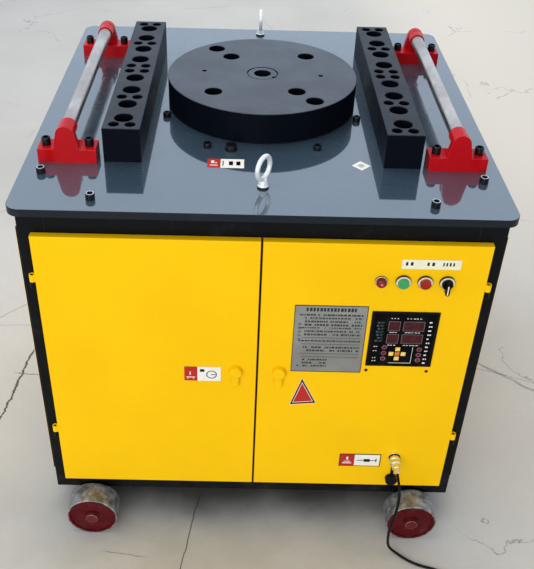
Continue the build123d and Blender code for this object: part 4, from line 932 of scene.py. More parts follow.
def ground_tube():
    """Ground steel tube: fine rings from the grinding wheel, water stains and a breath of rust."""
    material, tree, surface, place = new_finish("ground_tube", 0.3, 1.0)
    rings = grain(tree, place, 900, 3, 0.6, (0.04, 1, 0.04))
    stain = between(tree, grain(tree, place, 16, 6, 0.6, (1, 0.5, 1)), 0.35, 0.72)
    shade = tint(tree, stain, (0.46, 0.395, 0.35), (0.72, 0.62, 0.55))
    rust = between(tree, grain(tree, place, 34, 7, 0.7), 0.62, 0.78)
    shade = tint(tree, times(tree, rust, 0.4), shade, (0.30, 0.17, 0.11))
    scored = times(tree, between(tree, rings, 0.4, 0.7), 0.22)
    shade = tint(tree, scored, shade, (0.24, 0.235, 0.23))
    set_colour(tree, surface, shade, between(tree, stain, 0, 1, 0.42, 0.27))
    raised(tree, surface, rings, 0.00008, 0.45)
    return material


tube_steel = ground_tube()
for node in ("left_roller", "right_roller", "roller_axles"):
    eased(node, 0.7 * MM, tube_steel, worn=rubbed_edge)


# ---- Lifting eyes, table bolts and filler plug ----
# Forged eye bolts, zinc plated, for the crane hook. Socket screws hold the plate to the frame
# and to the gear case, and a hexagon plug closes the gear case's filler hole.

EYE_WASHER_TOP = TABLE_TOP + 4.2 * MM


def forged_zinc():
    """Zinc-plated forging, bright and slightly hammered, on a black washer at the table."""
    material, tree, surface, place = new_finish("forged_zinc", 0.4, 0.35)
    washer = between(tree, along(tree, place, 2), EYE_WASHER_TOP, EYE_WASHER_TOP - 0.4 * MM)
    cloud = between(tree, grain(tree, place, 150, 5), 0.35, 0.7)
    shade = tint(tree, cloud, (0.74, 0.77, 0.78), (0.88, 0.90, 0.90))
    shade = tint(tree, washer, shade, (0.012, 0.012, 0.013))
    set_colour(tree, surface, shade, between(tree, cloud, 0, 1, 0.46, 0.34))
    raised(tree, surface, grain(tree, place, 300, 4), 0.0006, 0.35)
    return material


def cast_blend(shape):
    """Joins a piece's solids in one skin, as in a casting or a forging."""
    blend = shape.modifiers.new("blend", "REMESH")
    blend.mode = "VOXEL"
    blend.voxel_size = 0.8 * MM


eyes = eased("lifting_eyes", 0.3 * MM, forged_zinc())
cast_blend(eyes)
easing = eyes.modifiers.new("easing", "SMOOTH")
easing.factor, easing.iterations = 0.5, 6
final_mesh(eyes)
eyes.data.shade_smooth()

TABLE_SHANK_L = 31 * MM
table_screw = socket_screw(M12_HEAD_R, M12_HEAD_H, M12_FLATS, M12_SHANK_R, TABLE_SHANK_L)
places = head_centres("table_bolts", TABLE_TOP, M12_HEAD_R)
# The table screws' heads get a painted highlight on their tops.
painted_crown_highlight = black_oxide("black_oxide_rubbed_crown", 0.85)
screws = set_out(
    "table_cap_screws", table_screw, places, (0, 0, 1), painted_crown_highlight, "cabinet", 13
)
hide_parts("table_bolts")
NUT_FLATS, NUT_H, FRAME_FLANGE = 17.3 * MM, 9 * MM, 5 * MM
nut = hex_head(NUT_FLATS, NUT_H)
nut_places = [(x, y, plate_low.z - FRAME_FLANGE) for x, y, z in places]
set_out("table_nuts", nut, nut_places, (0, 0, -1), black_steel, "cabinet", 14)
M10_HEAD_R, M10_HEAD_H, M10_SHANK_R, M10_FLATS = 8 * MM, 10 * MM, 5 * MM, 8 * MM
case_screw = socket_screw(M10_HEAD_R, M10_HEAD_H, M10_FLATS, M10_SHANK_R, TABLE_SHANK_L)
places = head_centres("table_bolts", TABLE_TOP, M10_HEAD_R)
set_out("case_cap_screws", case_screw, places, (0, 0, 1), black_steel, "cabinet", 15)
eased("oil_plug", 0.7 * MM, black_steel, 3)


# ---- Doors, hinges and latches ----
# Two folded sheet doors on lift-off hinges, sprayed yellow with their latches. Each latch is a
# cast knob with a turned-down lever. The hinges' lower halves are black like the frame.

for node in ("left_door", "right_door"):
    eased(node, 0.6 * MM, yellow_paint, 3)
eased("frame_hinges", 0.8 * MM, black_paint, worn=black_edge)
DOOR_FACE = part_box("right_door")[0].y
for node in ("left_latch", "right_latch"):
    latch = eased(node, 0.4 * MM, yellow_paint)
    cast_blend(latch)
    final_mesh(latch)
    handle = latch.vertex_groups.new(name="handle")
    handle.add([v.index for v in latch.data.vertices if v.co.y < DOOR_FACE - 1 * MM], 1.0, "REPLACE")
    softened = latch.modifiers.new("softened", "SMOOTH")
    softened.factor, softened.iterations = 0.5, 60
    softened.vertex_group = "handle"
    final_mesh(latch)
    latch.vertex_groups.clear()
    latch.data.shade_smooth()


# ---- Lamp, push buttons and selector ----
# Panel controls in bright-ringed bezels: a red lamp, a green and a red push button, and a black
# turn knob whose lever has a white line. A black nut behind the door clamps each one.

lens_low, lens_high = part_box("lamp_lens")
LENS_MIDDLE = (lens_low + lens_high) / 2


def control_finish():
    """Bezel with a chromed front ring, a painted reflection of the yellow door in amber at its foot, and
    black on its side and behind the door.
    """
    material, tree, surface, place = new_finish("bright_bezel", 0.3, Specular_IOR_Level=0.2)
    outside = between(tree, along(tree, place, 1), DOOR_FACE, DOOR_FACE - 1 * MM)
    front = times(tree, outside, facing(tree, 1, -0.6, -0.9))
    haze = between(tree, grain(tree, place, 300, 4), 0.35, 0.7)
    bright = tint(tree, haze, (0.90, 0.80, 0.64), (0.98, 0.90, 0.76))
    # Painted reflection: the lower half of the bright ring turns amber, as if mirroring the yellow door.
    amber = between(tree, along(tree, place, 2), LENS_MIDDLE.z - 1 * MM, LENS_MIDDLE.z - 6 * MM, 0.0, 0.8)
    bright = tint(tree, amber, bright, (0.62, 0.36, 0.03))
    shade = tint(tree, front, (0.016, 0.010, 0.007), bright)
    set_colour(tree, surface, shade, between(tree, front, 0, 1, 0.5, 0.25))
    tree.links.new(times(tree, front, 0.3), surface.inputs["Metallic"])
    raised(tree, surface, grain(tree, place, 1500, 2), 0.00005, 0.1)
    return material


eased("control_bodies", 0.5 * MM, control_finish())
green_cap = moulding("green_cap", (0.040, 0.33, 0.115), 0.3, 0.08, Specular_IOR_Level=0.25)
red_cap = moulding("red_cap", (0.30, 0.018, 0.006), 0.3, 0.08, Specular_IOR_Level=0.2)
for node, cap in (("green_button", green_cap), ("red_button", red_cap)):
    eased(node, 0.25 * MM, cap)


def lamp_finish():
    """Clear red moulding, darker at its rim, with a painted highlight as a pale spot in its middle."""
    material, tree, surface, place = new_finish("red_lamp", 0.2, Specular_IOR_Level=0.3)
    shift = {"Vector": place, "Location": (-LENS_MIDDLE.x, 0, -LENS_MIDDLE.z)}
    centred = put(tree, "Mapping", shift).outputs[0]
    radius = distance(tree, along(tree, centred, 0), along(tree, centred, 2))
    rim = between(tree, radius, 1.5 * MM, 9 * MM)
    shade = tint(tree, rim, (0.36, 0.020, 0.022), (0.13, 0.005, 0.007))
    # Painted highlight: a pale spot in the middle of the lens.
    seat = between(tree, radius, 2.8 * MM, 1.0 * MM)
    shade = tint(tree, times(tree, seat, 0.75), shade, (0.9, 0.42, 0.40))
    mottle = times(tree, grain(tree, place, 900, 2), 0.2)
    set_colour(tree, surface, tint(tree, mottle, shade, (0.12, 0.004, 0.004)))
    return material


eased("lamp_lens", 0.8 * MM, lamp_finish(), 3)
deep_black = moulding("deep_black_moulding", (0.003, 0.003, 0.003), 0.35, 0.1, Specular_IOR_Level=0.08)
eased("selector_knob", 0.9 * MM, deep_black, 3)
knob_low, knob_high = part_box("selector_knob")
LINE_W, LINE_T, LINE_FOOT, LINE_HEAD = 2.2 * MM, 0.25 * MM, 2 * MM, 7 * MM
knob_x = (knob_low.x + knob_high.x) / 2
white_ink = moulding("white_ink", (0.80, 0.79, 0.74), 0.45, 0.05)
selector_line = slab(
    (knob_x - LINE_W / 2, knob_x + LINE_W / 2),
    (knob_low.y - LINE_T, knob_low.y + LINE_T),
    (knob_low.z + LINE_FOOT, knob_high.z - LINE_HEAD),
    0.1 * MM,
)
new_piece("selector_line", selector_line, "selector", white_ink)


# ---- Panel computer ----
# A moulded black bezel with a printed membrane over it: two pairs of dark windows, round keys in
# domed film, and a cross of yellow keys. Its marks are plain strokes, with no words.

panel_low, panel_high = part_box("controller")
PANEL_W, PANEL_H = panel_high.x - panel_low.x, panel_high.z - panel_low.z
FILM_T, FILM_EDGE, MARK_T = 0.35 * MM, 0.12 * MM, 0.12 * MM
eased("controller", 0.6 * MM, deep_black)


def on_panel(u0, u1, v0, v1, height=MARK_T, rounding=0.0, lift=FILM_T):
    """Raised patch on the film, its edges as shares of the bezel's width and, from its top, its height."""
    base = panel_low.y - lift
    return slab(
        (panel_low.x + u0 * PANEL_W, panel_low.x + u1 * PANEL_W),
        (base - height, base + 0.1 * MM),
        (panel_high.z - v1 * PANEL_H, panel_high.z - v0 * PANEL_H),
        rounding,
    )


film_finish = moulding("black_film", (0.003, 0.0025, 0.003), 0.3, 0.1, Specular_IOR_Level=0.04)
film = on_panel(0.045, 0.955, 0.04, 0.96, FILM_T, FILM_EDGE, lift=0.0)
new_piece("panel_film", film, "right_door", film_finish, slot="panel_plastic")

WINDOW_BORDER = 0.008
windows = [
    (u0, u1, v, v + 0.155)
    for v in (0.17, 0.40)
    for u0, u1 in ((0.27, 0.43), (0.49, 0.79))
]
pale_ink = moulding("pale_ink", (0.15, 0.11, 0.13), 0.5, 0.05, Specular_IOR_Level=0.2)
frames = [
    on_panel(u0 - WINDOW_BORDER, u1 + WINDOW_BORDER, v0 - WINDOW_BORDER, v1 + WINDOW_BORDER)
    for u0, u1, v0, v1 in windows
]
new_piece("window_borders", merged(frames), "right_door", pale_ink, slot="panel_plastic")


def dark_glass():
    """Smoked red window over unlit figures."""
    material, tree, surface, place = new_finish("smoked_window", 0.15, Specular_IOR_Level=0.25)
    murk = between(tree, grain(tree, place, 90, 3), 0.3, 0.7)
    set_colour(tree, surface, tint(tree, murk, (0.032, 0.004, 0.008), (0.075, 0.007, 0.010)))
    return material


panes = [on_panel(*window, 2 * MARK_T) for window in windows]
new_piece("panel_windows", merged(panes), "right_door", dark_glass(), slot="panel_plastic")

chance = random.Random(5)


def strokes(u0, u1, v, count, height=0.010):
    """A row of short marks of uneven length."""
    marks, step = [], (u1 - u0) / count
    for index in range(count):
        start = u0 + index * step
        marks.append(on_panel(start, start + step * chance.uniform(0.45, 0.8), v, v + height))
    return marks


white_marks = []
for index in range(11):
    v = 0.16 + index * 0.075
    white_marks += strokes(0.86, 0.92, v, 1 + index % 2, 0.022)
for u0, u1 in ((0.29, 0.42), (0.52, 0.76)):
    for v in (0.105, 0.355, 0.59):
        white_marks += strokes(u0, u1, v, 3 if u1 < 0.5 else 5)
for v in (0.62, 0.70, 0.83, 0.89):
    white_marks += strokes(0.085, 0.155, v, 2, 0.011)
white_marks.append(on_panel(0.34, 0.68, 0.925, 0.932))
white_marks.append(on_panel(0.674, 0.68, 0.63, 0.93))
new_piece("panel_marks", merged(white_marks), "right_door", white_ink, slot="panel_plastic")

grey_blue_ink = moulding("grey_blue_ink", (0.055, 0.085, 0.085), 0.5, 0.05, Specular_IOR_Level=0.2)
scheme = []
for index, start in enumerate((0.10, 0.09, 0.11, 0.09, 0.10, 0.12, 0.09)):
    v = 0.175 + index * 0.055
    scheme.append(on_panel(start, start + 0.035, v, v + 0.030))
    scheme.append(on_panel(start + 0.05, 0.205, v, v + 0.008))
    scheme.append(on_panel(start + 0.05, 0.190, v + 0.020, v + 0.028))
new_piece("panel_scheme", merged(scheme), "right_door", grey_blue_ink, slot="panel_plastic")

KEY_R, KEY_SIDES = 4.0 * MM, 28
ring_outline = ((1.25, -0.1), (1.25, 0.15), (1.1, 0.2))
dome_outline = ((1.0, 0), (0.97, 0.5), (0.8, 0.85), (0.45, 1.05), (0.1, 1.1))
ring_key, dome_key = (
    ringed([(KEY_R * share, height * MM) for share, height in outline], KEY_SIDES)
    for outline in (ring_outline, dome_outline)
)
red_keys = [
    (panel_low.x + u * PANEL_W, panel_low.y - FILM_T, panel_high.z - v * PANEL_H)
    for u, rows in ((0.25, (0.64, 0.745, 0.85)), (0.78, (0.67, 0.77, 0.87)))
    for v in rows
]
magenta_key = moulding("magenta_key", (0.090, 0.006, 0.018), 0.3, 0.05, Specular_IOR_Level=0.3)
key_ring = moulding("key_ring", (0.30, 0.13, 0.16), 0.4, 0.05, Specular_IOR_Level=0.2)
set_out("red_key_rings", ring_key, red_keys, (0, -1, 0), key_ring, "right_door")
set_out("red_keys", dome_key, red_keys, (0, -1, 0), magenta_key, "right_door")

yellow_key = moulding("yellow_key", (0.84, 0.62, 0.14), 0.35, 0.05)
orange_key = moulding("orange_key", (0.62, 0.16, 0.03), 0.35, 0.05)
CROSS_U, CROSS_V, KEY_HALF, KEY_STEP, KEY_EDGE = 0.455, 0.755, 0.036, 0.092, 0.35 * MM
aspect = PANEL_W / PANEL_H


def square_key(across, down, height):
    """A key of the cross, so many steps off its middle."""
    u, v = CROSS_U + across * KEY_STEP, CROSS_V + down * KEY_STEP * aspect
    tall = KEY_HALF * aspect
    return on_panel(u - KEY_HALF, u + KEY_HALF, v - tall, v + tall, height, KEY_EDGE)


cross_keys = [square_key(across, down, 0.8 * MM) for across, down in ((-1, 0), (1, 0), (0, -1), (0, 1))]
new_piece("cross_keys", merged(cross_keys), "right_door", yellow_key, slot="panel_plastic")
new_piece("middle_key", square_key(0, 0, 0.7 * MM), "right_door", orange_key, slot="panel_plastic")
CLAMP_DROP, CLAMP_R, CLAMP_H = 13 * MM, 3.2 * MM, 1.6 * MM
clamp_places = [
    (x, DOOR_FACE, panel_low.z - CLAMP_DROP)
    for x in (panel_low.x + 3 * MM, panel_high.x - 6 * MM)
]
clamp = round_head(CLAMP_R, CLAMP_H)
set_out("panel_clamp_screws", clamp, clamp_places, (0, -1, 0), black_steel, "right_door", 21)


# ---- Instruction plate ----
# A brushed aluminium plate, etched with ruled lines of small dark strokes in place of words, and
# stuck to the door with tape.

etched_low, etched_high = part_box("instruction_plate")


def brushed_plate():
    """Aluminium brushed along X, a little cloudy."""
    material, tree, surface, place = new_finish("brushed_aluminium", 0.38, 0.85)
    lines = grain(tree, place, 260, 4, 0.6, (0.03, 1, 1))
    cloud = between(tree, grain(tree, place, 12, 5), 0.3, 0.7)
    shade = tint(tree, cloud, (0.31, 0.31, 0.295), (0.38, 0.38, 0.36))
    scored = times(tree, between(tree, lines, 0.45, 0.75), 0.35)
    shade = tint(tree, scored, shade, (0.36, 0.37, 0.37))
    set_colour(tree, surface, shade, between(tree, lines, 0.3, 0.7, 0.34, 0.48))
    raised(tree, surface, lines, 0.0001, 0.3)
    return material


eased("instruction_plate", 0.25 * MM, brushed_plate())
dark_etch = moulding("dark_etching", (0.026, 0.028, 0.028), 0.55, 0.1, Specular_IOR_Level=0.2)
pale_etch = moulding("grey_green_etching", (0.13, 0.155, 0.14), 0.5, 0.1)
plate_w, plate_h = etched_high.x - etched_low.x, etched_high.z - etched_low.z
RULE_T, BORDER = 0.6 * MARK_T, 0.010


def on_plate(u0, u1, v0, v1, height=MARK_T):
    """Etched stroke, its edges as shares of the plate's width and, from its top, its height."""
    return slab(
        (etched_low.x + u0 * plate_w, etched_low.x + u1 * plate_w),
        (etched_low.y - height, etched_low.y + 0.05 * MM),
        (etched_high.z - v1 * plate_h, etched_high.z - v0 * plate_h),
    )


etching = [
    on_plate(0, 1, 0, BORDER), on_plate(0, 1, 1 - BORDER, 1),
    on_plate(0, BORDER, 0, 1), on_plate(1 - BORDER, 1, 0, 1),
]
HEADING_U, HEADING_MARKS = (0.16, 0.86), 15
step = (HEADING_U[1] - HEADING_U[0]) / HEADING_MARKS
for mark in range(HEADING_MARKS):
    start = HEADING_U[0] + mark * step
    etching.append(on_plate(start, start + step * chance.uniform(0.60, 0.80), 0.035, 0.085))
rules = []
LINES, SHORT_LINES, RULED_LINES = 17, 3, (7, 9, 12, 13)
FIRST_LINE, LINE_PITCH = 0.125, 0.048
for line_number in range(LINES):
    v = FIRST_LINE + line_number * LINE_PITCH
    end = 0.94 if line_number < LINES - SHORT_LINES else 0.50
    u = 0.15 if line_number % 4 else 0.08
    rules.append(on_plate(u, end, v + 0.026, v + 0.0305, RULE_T))
    if line_number in RULED_LINES:
        etching.append(on_plate(0.12, end, v + 0.008, v + 0.014))
        continue
    tall = chance.uniform(0.014, 0.024)
    while u < end:
        length = chance.uniform(0.012, 0.045)
        if chance.random() < 0.88:
            etching.append(on_plate(u, min(u + length, end), v, v + tall))
        u += length + chance.uniform(0.006, 0.014)
for pictogram in range(5):
    v = 0.26 + pictogram * 0.055
    rules.append(on_plate(0.06, 0.11, v, v + 0.034, RULE_T))
new_piece("etched_strokes", merged(etching), "right_door", dark_etch, slot="etched_aluminium")
new_piece("etched_rules", merged(rules), "right_door", pale_etch, slot="etched_aluminium")


# ---- Stickers ----
# Vinyl stickers on the doors and the table, printed with plain bars and strokes only: a cream
# strip over the buttons, red and white labels, a red triangle and a white diamond.

STICKER_T, INK_T, GLUE_T = 0.2 * MM, 0.08 * MM, 0.05 * MM


def vinyl(name, colour, sheen_level=0.4):
    """Printed vinyl, faded in patches."""
    faded = tuple(c * 0.9 for c in colour)
    return mottled(
        name, (40, 5), (0.35, 0.75), (colour, faded), (0.32, 0.45),
        (500, 3), (0.00008, 0.2), Specular_IOR_Level=sheen_level,
    )


def on_door(x0, x1, z0, z1, inks=0, sunk=GLUE_T):
    """Flat patch on the doors' face, in millimetres, with z from the table's top."""
    return slab(
        (x0 * MM, x1 * MM),
        (DOOR_FACE - STICKER_T - inks * INK_T, DOOR_FACE + sunk),
        (TABLE_TOP + z0 * MM, TABLE_TOP + z1 * MM),
    )


def on_table(x0, x1, y0, y1, inks=0, sunk=GLUE_T):
    """Flat patch on the table, in millimetres."""
    top = TABLE_TOP + STICKER_T + inks * INK_T
    return slab((x0 * MM, x1 * MM), (y0 * MM, y1 * MM), (TABLE_TOP - sunk, top))


cream = vinyl("cream_vinyl", (0.86, 0.84, 0.64))
white_vinyl = vinyl("white_vinyl", (0.88, 0.87, 0.80))
red_vinyl = vinyl("red_vinyl", (0.50, 0.022, 0.014), 0.25)
black_print = vinyl("black_print", (0.010, 0.010, 0.011), 0.2)
maroon_print = vinyl("maroon_print", (0.065, 0.005, 0.005), 0.2)

new_piece("button_strip", on_door(252, 359, -107.0, -86.5), "right_door", cream)
marks = []
for start, widths in ((259.0, (4.2, 4.8)), (297.5, (4.2, 5.0)), (326.0, (2.6, 3.0, 3.4, 3.0))):
    x = start
    for width in widths:
        marks.append(on_door(x, x + width, -99.5, -92.0, 1))
        x += width + (4.5 if len(widths) == 2 else 3.0)
new_piece("button_strip_marks", merged(marks), "right_door", black_print)


def label(name, patch, body, x0, x1, low, high):
    """Label with a red field at its left and a white one at its right."""
    split = x0 + (x1 - x0) * 0.36
    new_piece(name + "_red", patch(x0, split, low, high, 1), body, red_vinyl)
    new_piece(name + "_white", patch(split, x1, low, high, 1), body, white_vinyl)


def printed_bars(name, patch, bars, body, material):
    """Bars printed over a label: (x0, x1, low, high) in millimetres."""
    new_piece(name, merged([patch(*bar, 2, 0.0) for bar in bars]), body, material)


label("left_label", on_door, "left_door", -144, -72, -393, -356)
pale_bars = [
    (-133.5, -131.5, -378, -369), (-140, -123, -384.5, -382.5),
    (-138, -136, -388, -386), (-127, -125, -388, -386),
]
printed_bars("left_label_pale", on_door, pale_bars, "left_door", white_vinyl)
DIAL_X, DIAL_Z, DIAL_R, DIAL_BORE = -90 * MM, -376 * MM, 10.5 * MM, 8.6 * MM
dial_top = STICKER_T + 2 * INK_T
dial = ringed([(DIAL_R, 0), (DIAL_R, dial_top), (DIAL_BORE, dial_top), (DIAL_BORE, 0)], 36, hollow=True)
dial_place = Matrix.Translation((DIAL_X, DOOR_FACE, TABLE_TOP + DIAL_Z))
dial.transform(dial_place @ Matrix.Rotation(math.pi / 2, 4, "X"))
new_piece("left_label_ring", dial, "left_door", black_print)
dark_bars = [(-113, -104, -369, -362), (-91, -82, -377, -375)]
printed_bars("left_label_dark", on_door, dark_bars, "left_door", black_print)
new_piece("right_label_border", on_door(184, 273, -636, -598), "right_door", black_print)
label("right_label", on_door, "right_door", 186, 271, -634, -600)
pale_bars = [(191, 211, -627.5, -625), (194, 208, -622, -620), (199, 203, -616, -607)]
printed_bars("right_label_pale", on_door, pale_bars, "right_door", white_vinyl)
dark_bars = [
    (222, 237, -618.5, -616.5), (237, 250, -622, -613),
    (250, 262, -618.5, -616.5), (262, 264.5, -622, -611),
]
printed_bars("right_label_dark", on_door, dark_bars, "right_door", black_print)
label("table_label", on_table, "cabinet", -105, -35, -287, -253)
pale_bars = [(-100, -85, -279, -276.5), (-98, -92, -270, -260), (-90, -87, -270, -266)]
printed_bars("table_label_pale", on_table, pale_bars, "cabinet", white_vinyl)
dark_bars = [(-76, -74, -280, -260), (-64, -56, -277, -262), (-50, -42, -277, -262)]
printed_bars("table_label_dark", on_table, dark_bars, "cabinet", black_print)
light_bars = [
    (-62.8, -57.2, -268.9, -263.3), (-62.8, -57.2, -275.7, -270.3), (-48.8, -43.2, -275.7, -263.3)
]
printed_bars("table_label_light", on_table, light_bars, "cabinet", white_vinyl)


def prism(corners, near, far, upright=True):
    """Closed mesh of a flat outline given in millimetres, on the doors (upright) or on the table."""
    shell = bmesh.new()
    rings = []
    for level in (near, far):
        if upright:
            spots = [(x * MM, DOOR_FACE - level, TABLE_TOP + z * MM) for x, z in corners]
        else:
            spots = [(x * MM, y * MM, TABLE_TOP + level) for x, y in corners]
        rings.append([shell.verts.new(spot) for spot in spots])
    wall(shell, *rings)
    shell.faces.new(rings[0])
    shell.faces.new(list(reversed(rings[1])))
    bmesh.ops.recalc_face_normals(shell, faces=shell.faces)
    return as_mesh(shell, "prism")


def scaled(corners, share):
    """The outline, larger or smaller about its middle."""
    middle = [sum(corner[axis] for corner in corners) / len(corners) for axis in (0, 1)]
    return [[m + (c - m) * share for c, m in zip(corner, middle)] for corner in corners]


TRIANGLE = ((90, -382), (69, -453.5), (121, -448))
for name, share, ink, material in (
    ("triangle_edge", 1.04, 0, white_vinyl),
    ("triangle_border", 1.0, 1, maroon_print),
    ("triangle_line", 0.80, 2, white_vinyl),
    ("triangle_field", 0.74, 3, red_vinyl),
):
    corners = scaled(TRIANGLE, share)
    new_piece(name, prism(corners, 0, STICKER_T + ink * INK_T), "right_door", material)
DIAMOND = ((170, -267), (188, -285), (206, -267), (188, -249))
new_piece("white_diamond", prism(DIAMOND, 0, STICKER_T, False), "cabinet", white_vinyl)
grey_print = vinyl("grey_print", (0.45, 0.46, 0.47))
small_diamond = prism(scaled(DIAMOND, 0.45), 0, STICKER_T + INK_T, False)
new_piece("diamond_print", small_diamond, "cabinet", grey_print)


# ---- Foot-switch socket, plug and dust cap ----
# A round panel socket in thinly nickelled brass, yellow where hands have worn it. The plug's
# knurled sleeve screws on it, and a rubber cap hangs by its strap from a ring round the socket.
plated_brass = mottled(
    "nickel_brass", (130, 6, 0.6), (0.38, 0.66), ((0.86, 0.84, 0.72), (0.74, 0.68, 0.40)), (0.24, 0.36),
    (900, 3), (0.0001, 0.2), metallic=1.0,
)
eased("socket", 0.5 * MM, plated_brass, 3)
plug_low, plug_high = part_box("plug")
plug_x, plug_z = (plug_low.x + plug_high.x) / 2, (plug_low.z + plug_high.z) / 2
SLEEVE_R, SLEEVE_L, SLEEVE_BORE, BORE_L = (plug_high.x - plug_low.x) / 2, 20 * MM, 9.1 * MM, 6.6 * MM
BODY_R, GLAND_R, GLAND_L, CORD_R = 8.5 * MM, 6.5 * MM, 14 * MM, 3 * MM
BODY_END = SLEEVE_L + 11 * MM
KNURLS, KNURL_DEPTH = 36, 0.045
knurl = lambda angle: SLEEVE_R * (1 - KNURL_DEPTH * (round(angle * KNURLS / math.pi) % 2))
sleeve = [
    (SLEEVE_BORE, 0), (SLEEVE_R * 0.92, 0), (SLEEVE_R * 0.97, 0.8 * MM), (knurl, 1.6 * MM), (knurl, 8 * MM),
    (SLEEVE_R * 0.90, 8.6 * MM), (SLEEVE_R * 0.90, 10.2 * MM), (knurl, 10.8 * MM), (knurl, 17.5 * MM),
    (SLEEVE_R * 0.95, 18.6 * MM), (SLEEVE_R * 0.85, SLEEVE_L), (BODY_R, SLEEVE_L),
    (BODY_R, BODY_END - 1.5 * MM), (BODY_R * 0.92, BODY_END), (GLAND_R, BODY_END + 0.2 * MM),
    (GLAND_R * 0.96, BODY_END + 2 * MM), (GLAND_R * 0.80, BODY_END + GLAND_L * 0.6),
    (CORD_R + 1 * MM, BODY_END + GLAND_L), (CORD_R * 0.98, BODY_END + GLAND_L),
    (CORD_R * 0.98, BODY_END), (CORD_R, BORE_L), (SLEEVE_BORE, BORE_L),
]
plug_mesh = ringed(sleeve, 2 * KNURLS, hollow=True)
outward = Vector((0, -1, 0)).to_track_quat("Z", "Y").to_matrix().to_4x4()
plug_mesh.transform(Matrix.Translation((plug_x, plug_high.y, plug_z)) @ outward)
plug_piece = new_piece("plug_piece", plug_mesh, "right_door", plated_brass, slot="brass")
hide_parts("plug")


def rubber(name, colour=(0.005, 0.005, 0.006), gloss=0.5):
    """Black rubber with a greyish bloom."""
    bloomed = tuple(c * 1.6 + 0.005 for c in colour)
    return mottled(
        name, (60, 6, 0.6), (0.45, 0.8), (colour, bloomed), (gloss, gloss + 0.2),
        (700, 4), (0.0003, 0.25), Specular_IOR_Level=0.10,
    )


black_rubber = rubber("black_rubber")
eased("dust_cap", 0.8 * MM, black_rubber, 3)


# ---- Foot-switch cord ----
# A 6 mm rubber cord, two metres long. It hangs from the plug, runs forward over the floor, and
# most of it lies in a tied coil beside the foot switch that it ends in. Points in millimetres.

CORD_ROUTE = (
    (301, -500, 221), (301, -518, 221), (301.5, -533, 212.5), (302, -542, 197), (301, -545, 168),
    (296, -545, 124), (293.5, -541, 86), (296, -536, 56), (299, -532, 31), (306, -530.5, 14),
    (320, -535.5, 5), (338, -549, 3), (362, -563, 3), (395, -572, 3), (430, -585, 3),
    (452, -604, 3), (466, -611, 3),
)
CORD_TAIL = (
    (437, -650, 11), (425, -638, 6), (410, -629, 3.2), (392, -622, 3), (372, -625, 4),
    (358, -633, 8), (352.5, -646, 11), (352, -660, 12),
)
COIL_X, COIL_Y, COIL_R = 478, -652, 33
TURNS = ((6, 3), (0, 3), (-6, 3), (-3, 8.2), (3, 8.2), (6, 13.4), (0, 13.4))
POINTS_PER_TURN, LAST_TURN = 16, 249 / 360


def coil_points():
    """Turns of the coil, clockwise from its back, each moving over to the next in its last quarter."""
    points = []
    total = int((len(TURNS) - 1 + LAST_TURN) * POINTS_PER_TURN)
    for index in range(total + 1):
        turn, part = divmod(index, POINTS_PER_TURN)
        share = max(0.0, part / POINTS_PER_TURN - 0.75) / 0.25
        after = TURNS[min(turn + 1, len(TURNS) - 1)]
        out = TURNS[turn][0] * (1 - share) + after[0] * share
        height = TURNS[turn][1] * (1 - share) + after[1] * share
        angle = math.radians(90 - 360 * part / POINTS_PER_TURN)
        radius = COIL_R + out
        points.append((COIL_X + radius * math.cos(angle), COIL_Y + radius * math.sin(angle), height))
    return points


cord_points = list(CORD_ROUTE) + coil_points() + list(CORD_TAIL)
cord_curve = bpy.data.curves.new("foot_switch_cord", "CURVE")
cord_curve.dimensions = "3D"
cord_curve.bevel_depth = CORD_R
cord_curve.bevel_resolution = 4
cord_curve.use_fill_caps = True
path = cord_curve.splines.new("NURBS")
path.points.add(len(cord_points) - 1)
for point, place in zip(path.points, cord_points):
    point.co = (*(Vector(place) * MM), 1.0)
path.order_u = 3
path.use_endpoint_u = True
path.resolution_u = 6
cord = added("foot_switch_cord", cord_curve)
cord_curve.materials.append(rubber("cord_rubber", (0.004, 0.004, 0.005), 0.42))
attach(cord, "right_door")
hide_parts("cord", "cord_coil")

TIE_W, TIE_WALL, TIE_REACH, TIE_RISE, TIE_SIDES = 7 * MM, 1.2 * MM, 9.6 * MM, 8.3 * MM, 20
TIE_ANGLE = math.radians(-60)


def cord_tie():
    """A strap round the coil, its section a square with round corners."""
    shell = bmesh.new()
    squared = lambda value: math.copysign(abs(value) ** 0.6, value)
    rings = []
    for inward in (0.0, TIE_WALL):
        for side in (-TIE_W / 2, TIE_W / 2):
            ring = []
            for step in range(TIE_SIDES):
                angle = 2 * math.pi * step / TIE_SIDES
                across = (TIE_REACH - inward) * squared(math.cos(angle))
                upward = (TIE_RISE - inward) * squared(math.sin(angle))
                ring.append(shell.verts.new((across, side, upward)))
            rings.append(ring)
    for first, second in ((0, 1), (1, 3), (3, 2), (2, 0)):
        wall(shell, rings[first], rings[second])
    bmesh.ops.recalc_face_normals(shell, faces=shell.faces)
    mesh = as_mesh(shell, "cord_tie")
    x, y = COIL_X + COIL_R * math.cos(TIE_ANGLE), COIL_Y + COIL_R * math.sin(TIE_ANGLE)
    place = Vector((x, y, TIE_RISE / MM)) * MM
    mesh.transform(Matrix.Translation(place) @ Matrix.Rotation(TIE_ANGLE, 4, "Z"))
    return mesh


tie = new_piece("cord_tie", cord_tie(), "right_door", black_moulding, slot="black_rubber")


# ---- Foot switch ----
# A folded steel base with a switch housing between two cheeks, and a tread plate that tips about
# a pin. Both are sprayed yellow, and a ribbed rubber mat is glued on the tread.

base = eased("foot_switch_base", 0.7 * MM, yellow_paint)
pedal = eased("foot_pedal", 0.8 * MM, yellow_paint)
pedal_low, pedal_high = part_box("foot_pedal")
PEDAL_TILT, RIB_COUNT, RIB_PITCH = math.radians(-4), 11, 6 * MM
RIB_W, RIB_D, RIB_H, RIB_EDGE = 52 * MM, 3.2 * MM, 1.2 * MM, 0.45 * MM
MAT_TOP, MAT_SUNK, MAT_EDGE, MAT_Z = 0.4 * MM, 0.2 * MM, 0.15 * MM, 49.1 * MM


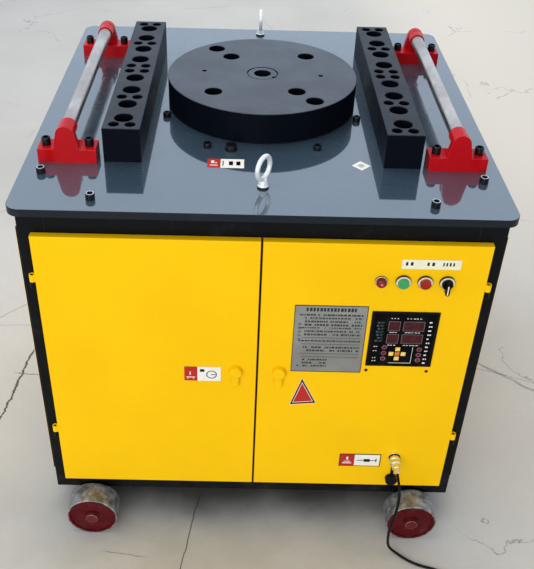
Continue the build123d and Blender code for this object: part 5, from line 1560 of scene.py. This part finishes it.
def rib_layout():
    """Ribs in a row along Y: a pattern repeated, then made real."""
    tree = bpy.data.node_groups.new("rib_layout", "GeometryNodeTree")
    face = tree.interface
    face.new_socket("Geometry", in_out="INPUT", socket_type="NodeSocketGeometry")
    inputs = {}
    for name, kind in (("Rib", "Object"), ("Count", "Int"), ("Pitch", "Float")):
        inputs[name] = face.new_socket(name, in_out="INPUT", socket_type="NodeSocket" + kind).identifier
    face.new_socket("Geometry", in_out="OUTPUT", socket_type="NodeSocketGeometry")
    make, link = tree.nodes.new, tree.links.new
    source, result = make("NodeGroupInput"), make("NodeGroupOutput")
    row, step = make("GeometryNodeMeshLine"), make("ShaderNodeCombineXYZ")
    info, copies = make("GeometryNodeObjectInfo"), make("GeometryNodeInstanceOnPoints")
    real, coat = make("GeometryNodeRealizeInstances"), make("GeometryNodeSetMaterial")
    coat.inputs["Material"].default_value = black_rubber
    link(source.outputs["Pitch"], step.inputs[1])
    link(step.outputs[0], row.inputs["Offset"])
    link(source.outputs["Count"], row.inputs["Count"])
    link(source.outputs["Rib"], info.inputs["Object"])
    link(row.outputs[0], copies.inputs["Points"])
    link(info.outputs["Geometry"], copies.inputs["Instance"])
    link(copies.outputs[0], real.inputs[0])
    link(real.outputs[0], coat.inputs[0])
    link(coat.outputs[0], result.inputs[0])
    return tree, inputs


rib = added("rib", slab((-RIB_W / 2, RIB_W / 2), (-RIB_D / 2, RIB_D / 2), (0, RIB_H), RIB_EDGE))
ribs = added("ribs", bpy.data.meshes.new("ribs"))
layout = ribs.modifiers.new("layout", "NODES")
layout.node_group, inputs = rib_layout()
layout[inputs["Rib"]] = rib
layout[inputs["Count"]] = RIB_COUNT
layout[inputs["Pitch"]] = RIB_PITCH
final_mesh(ribs)
bpy.data.objects.remove(rib)
backing = slab(
    (-RIB_W / 2, RIB_W / 2), (-RIB_PITCH, RIB_PITCH * RIB_COUNT), (-MAT_SUNK, MAT_TOP), MAT_EDGE
)
mat = merged([ribs.data.copy(), backing])
bpy.data.objects.remove(ribs)
mat_place = Vector(((pedal_low.x + pedal_high.x) / 2, pedal_low.y + RIB_PITCH + 2 * MM, MAT_Z))
mat.transform(Matrix.Translation(mat_place) @ Matrix.Rotation(PEDAL_TILT, 4, "X"))
tread = new_piece("tread", mat, "foot_pedal", black_rubber, slot="black_rubber")

size = {"cad": [list(corner) for corner in cad_box], "visual": [list(corner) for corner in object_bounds()]}
